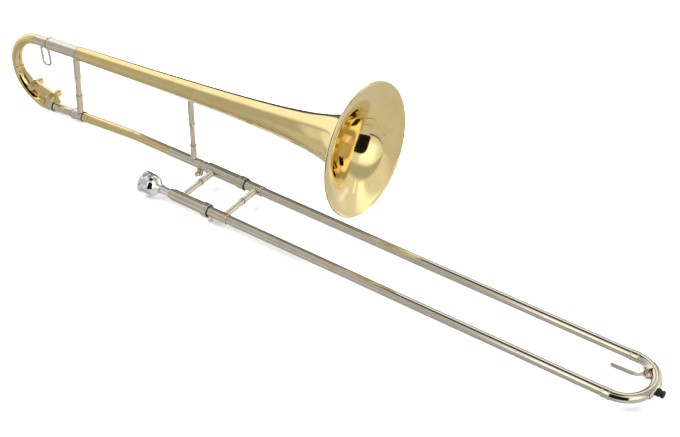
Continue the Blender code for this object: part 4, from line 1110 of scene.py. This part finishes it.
def camera():
    """The photograph's view: turned, tilted and rolled, then moved in its own axes."""
    azimuth, elevation, roll = [radians(a) for a in (34.5855, 38.2062, 0.5756)]
    across, upward, away = 0.2107, -0.0816, 2.3328
    back = Vector((sin(azimuth) * cos(elevation), -cos(azimuth) * cos(elevation),
                   sin(elevation)))
    flat = Vector((cos(azimuth), sin(azimuth), 0))
    tall = back.cross(flat)
    right = flat * cos(roll) + tall * sin(roll)
    up = tall * cos(roll) - flat * sin(roll)
    turn = Matrix((right, up, back)).transposed()
    data = bpy.data.cameras.new("camera")
    data.sensor_width = 36.0
    data.lens = 79.41
    data.clip_start, data.clip_end = 0.05, 60.0
    item = linked("camera", data)
    spot = Vector(JOINTS["bell_swivel"]["pos_m"]) + turn @ Vector((across, upward, away))
    item.matrix_world = Matrix.Translation(spot) @ turn.to_4x4()
    bpy.context.scene.camera = item


WHITE = (0.98, 0.98, 0.98, 1)
FLOOR_FADE = 2.0


def to_camera(tree, out, shader, seen, share=1.0):
    """One shader at the output for every ray, and the other mixed over it where the camera looks."""
    path = tree.nodes.new("ShaderNodeLightPath")
    factor = worked_out(tree, "MULTIPLY", share, path.outputs["Is Camera Ray"])
    mix = add(tree, "ShaderNodeMixShader", Fac=factor)
    feed(tree, mix.inputs[1], shader)
    feed(tree, mix.inputs[2], seen)
    feed(tree, out.inputs["Surface"], mix.outputs["Shader"])


def floor():
    """A pale floor under the object that turns into the white background further off."""
    bm = bmesh.new()
    bmesh.ops.create_grid(bm, x_segments=2, y_segments=2, size=30)
    item = placed("floor", bm, Matrix.Identity(4))
    mat, tree, shader = new_material("floor", (0.93, 0.93, 0.93), 0.0, 0.9)
    length = tree.nodes.new("ShaderNodeVectorMath")
    length.operation = "LENGTH"
    feed(tree, length.inputs[0], tree.nodes.new("ShaderNodeTexCoord").outputs["Object"])
    far = step_at(tree, length.outputs["Value"], FLOOR_FADE, FLOOR_FADE, True)
    glow = add(tree, "ShaderNodeEmission", Color=WHITE, Strength=1.0)
    to_camera(tree, tree.nodes["Material Output"], shader.outputs["BSDF"], glow.outputs["Emission"], far)
    item.data.materials.append(mat)
    item.visible_glossy = False


def area(name, spot, power, side=2.4, aim=(0, 0, 0.1)):
    data = bpy.data.lights.new(name, "AREA")
    data.shape = "RECTANGLE"
    data.size, data.size_y = side, side
    data.energy = power
    item = linked(name, data)
    item.location = spot
    item.visible_glossy = False
    item.rotation_euler = (Vector(aim) - Vector(spot)).to_track_quat("-Z", "Y").to_euler()


# Room seen in reflections. Each card lies over the ones before it: its angles about X from and to
# in degrees, how soft those edges are, its range along X, how soft those are, and its level.
# The stand is one dark patch with round corners, cut from the product of its four soft edges.
ROOM_LEVEL = 0.50
STAND = ((-10, 6), (48, 50), (-0.2, 0.1), (0.58, 0.36))
STAND_CUT, STAND_SOFT, STAND_LEVEL = 0.16, 0.08, 0.01
CARDS = [
    # floor, lighter behind the object than in front
    (-90, -40, 14, -1.1, 0.1, 0.05, 0.44), (-200, -115, 22, -1.1, 0.1, 0.05, 0.90),
    # left end of the room, seen in the bell's side and the near ends of the tubes
    (-110, 0, 20, -1.1, -0.64, 0.06, 0.62), (-4, 62, 20, -1.1, -0.78, 0.06, 0.80),
    (80, 200, 34, -1.1, -0.57, 0.04, 1.22), (-200, -150, 12, -1.1, -0.57, 0.04, 1.30),
    (-110, 62, 20, -1.1, -0.93, 0.06, 1.05),
    # dim wall behind the joint
    (100, 160, 14, -0.57, -0.41, 0.03, 0.22), (64, 96, 12, -0.57, -0.41, 0.03, 0.64),
    (-22, 12, 10, -0.57, -0.41, 0.03, 0.66), (12, 60, 10, -0.57, -0.41, 0.03, 0.48),
    (-76, -40, 14, -0.57, -0.41, 0.03, 0.38), (-200, -78, 12, -0.57, -0.41, 0.03, 0.90),
    # front softbox, dark gap overhead, ceiling softbox and back wall for the far half of the slide
    (14, 60, 14, -0.325, 0.1, 0.04, 1.42), (76, 107, 7, -0.41, 0.1, 0.03, 0.03),
    (115, 150, 7, -0.41, 0.1, 0.03, 1.10), (152, 200, 5, -0.41, 0.1, 0.03, 0.20),
    (174, 200, 4, -0.41, 0.1, 0.03, 0.95),
    # dark strip along the foot of the back wall, which outlines the tops of the tubes
    (162, 200, 8, -0.66, -0.41, 0.04, 0.08), (-200, -142, 12, -0.66, -0.41, 0.04, 0.08),
    (174, 200, 5, -0.90, -0.62, 0.06, 0.15), (-200, -160, 8, -0.90, -0.62, 0.06, 0.15),
    # what the inside of the bell sees: floor and front, then above the horizon
    (-200, -14, 3, 0.1, 1.1, 0.05, 0.65), (-14, 200, 3, 0.1, 1.1, 0.05, 0.85),
    (12, 88, 34, 0.46, 0.94, 0.16, 1.50), (97, 141, 16, 0.1, 1.1, 0.05, 0.50),
    (148, 200, 10, 0.1, 1.1, 0.08, 0.86), (-200, -152, 12, 0.1, 1.1, 0.08, 0.86),
    (148, 200, 12, 0.62, 0.76, 0.08, 1.42), (-200, -152, 12, 0.62, 0.76, 0.08, 1.42),
    (148, 200, 12, 0.50, 0.55, 0.04, 1.25), (-200, -156, 8, 0.24, 0.35, 0.08, 1.15),
    (-19, -13, 2, 0.60, 0.99, 0.03, 0.10), (104, 130, 10, -0.05, 0.20, 0.05, 0.30),
]


def step_at(tree, value, spot, soft, rising):
    """0 to 1 over a soft step at spot, or 1 to 0."""
    low, high = (0.0, 1.0) if rising else (1.0, 0.0)
    return spread(tree, value, low, high, spot - soft / 2, spot + soft / 2, "SMOOTHSTEP")


def mask_over(tree, angle, across, low, high, left, right):
    """1 inside four soft edges, each a spot and its softness."""
    rows = worked_out(tree, "MULTIPLY", step_at(tree, angle, *low, True), step_at(tree, angle, *high, False))
    columns = worked_out(tree, "MULTIPLY", step_at(tree, across, *left, True),
                         step_at(tree, across, *right, False))
    return worked_out(tree, "MULTIPLY", rows, columns)


def around(tree, split):
    """Angle about X in degrees: 0 at the front horizon, 90 overhead, 180 at the back."""
    front = worked_out(tree, "MULTIPLY", split.outputs["Y"], -1)
    return worked_out(tree, "DEGREES", worked_out(tree, "ARCTAN2", split.outputs["Z"], front))


def sky():
    """White for the camera alone. Reflections and soft light see the room of cards instead.

    The cards were placed and levelled against the photograph.
    """
    world = bpy.data.worlds.new("studio")
    bpy.context.scene.world = world
    world.use_nodes = True
    tree = world.node_tree
    tree.nodes.clear()
    where = tree.nodes.new("ShaderNodeTexCoord").outputs["Generated"]
    split = add(tree, "ShaderNodeSeparateXYZ", Vector=where)
    angle, across = around(tree, split), split.outputs["X"]
    level = (ROOM_LEVEL, ROOM_LEVEL, ROOM_LEVEL, 1)
    for low, high, soft, left, right, fade, grey in CARDS:
        mask = mask_over(tree, angle, across, (low, soft), (high, soft), (left, fade), (right, fade))
        level = blended(tree, mask, level, (grey, grey, grey, 1))
    stand = step_at(tree, mask_over(tree, angle, across, *STAND), STAND_CUT, STAND_SOFT, True)
    level = blended(tree, stand, level, (STAND_LEVEL, STAND_LEVEL, STAND_LEVEL, 1))
    room = add(tree, "ShaderNodeBackground", Color=level, Strength=1.0)
    white = add(tree, "ShaderNodeBackground", Color=WHITE, Strength=1.0)
    to_camera(tree, tree.nodes.new("ShaderNodeOutputWorld"), room.outputs["Background"],
              white.outputs["Background"])


def light():
    sky()
    area("key", (-1.6, -1.2, 2.6), 170)
    area("fill", (1.8, 1.8, 2.4), 150)


model()
# painted shade rings at the barrel mouths and in the joints
paint_shade_rings()
shade()
camera()
floor()
light()
bpy.context.scene.view_settings.view_transform = "Standard"
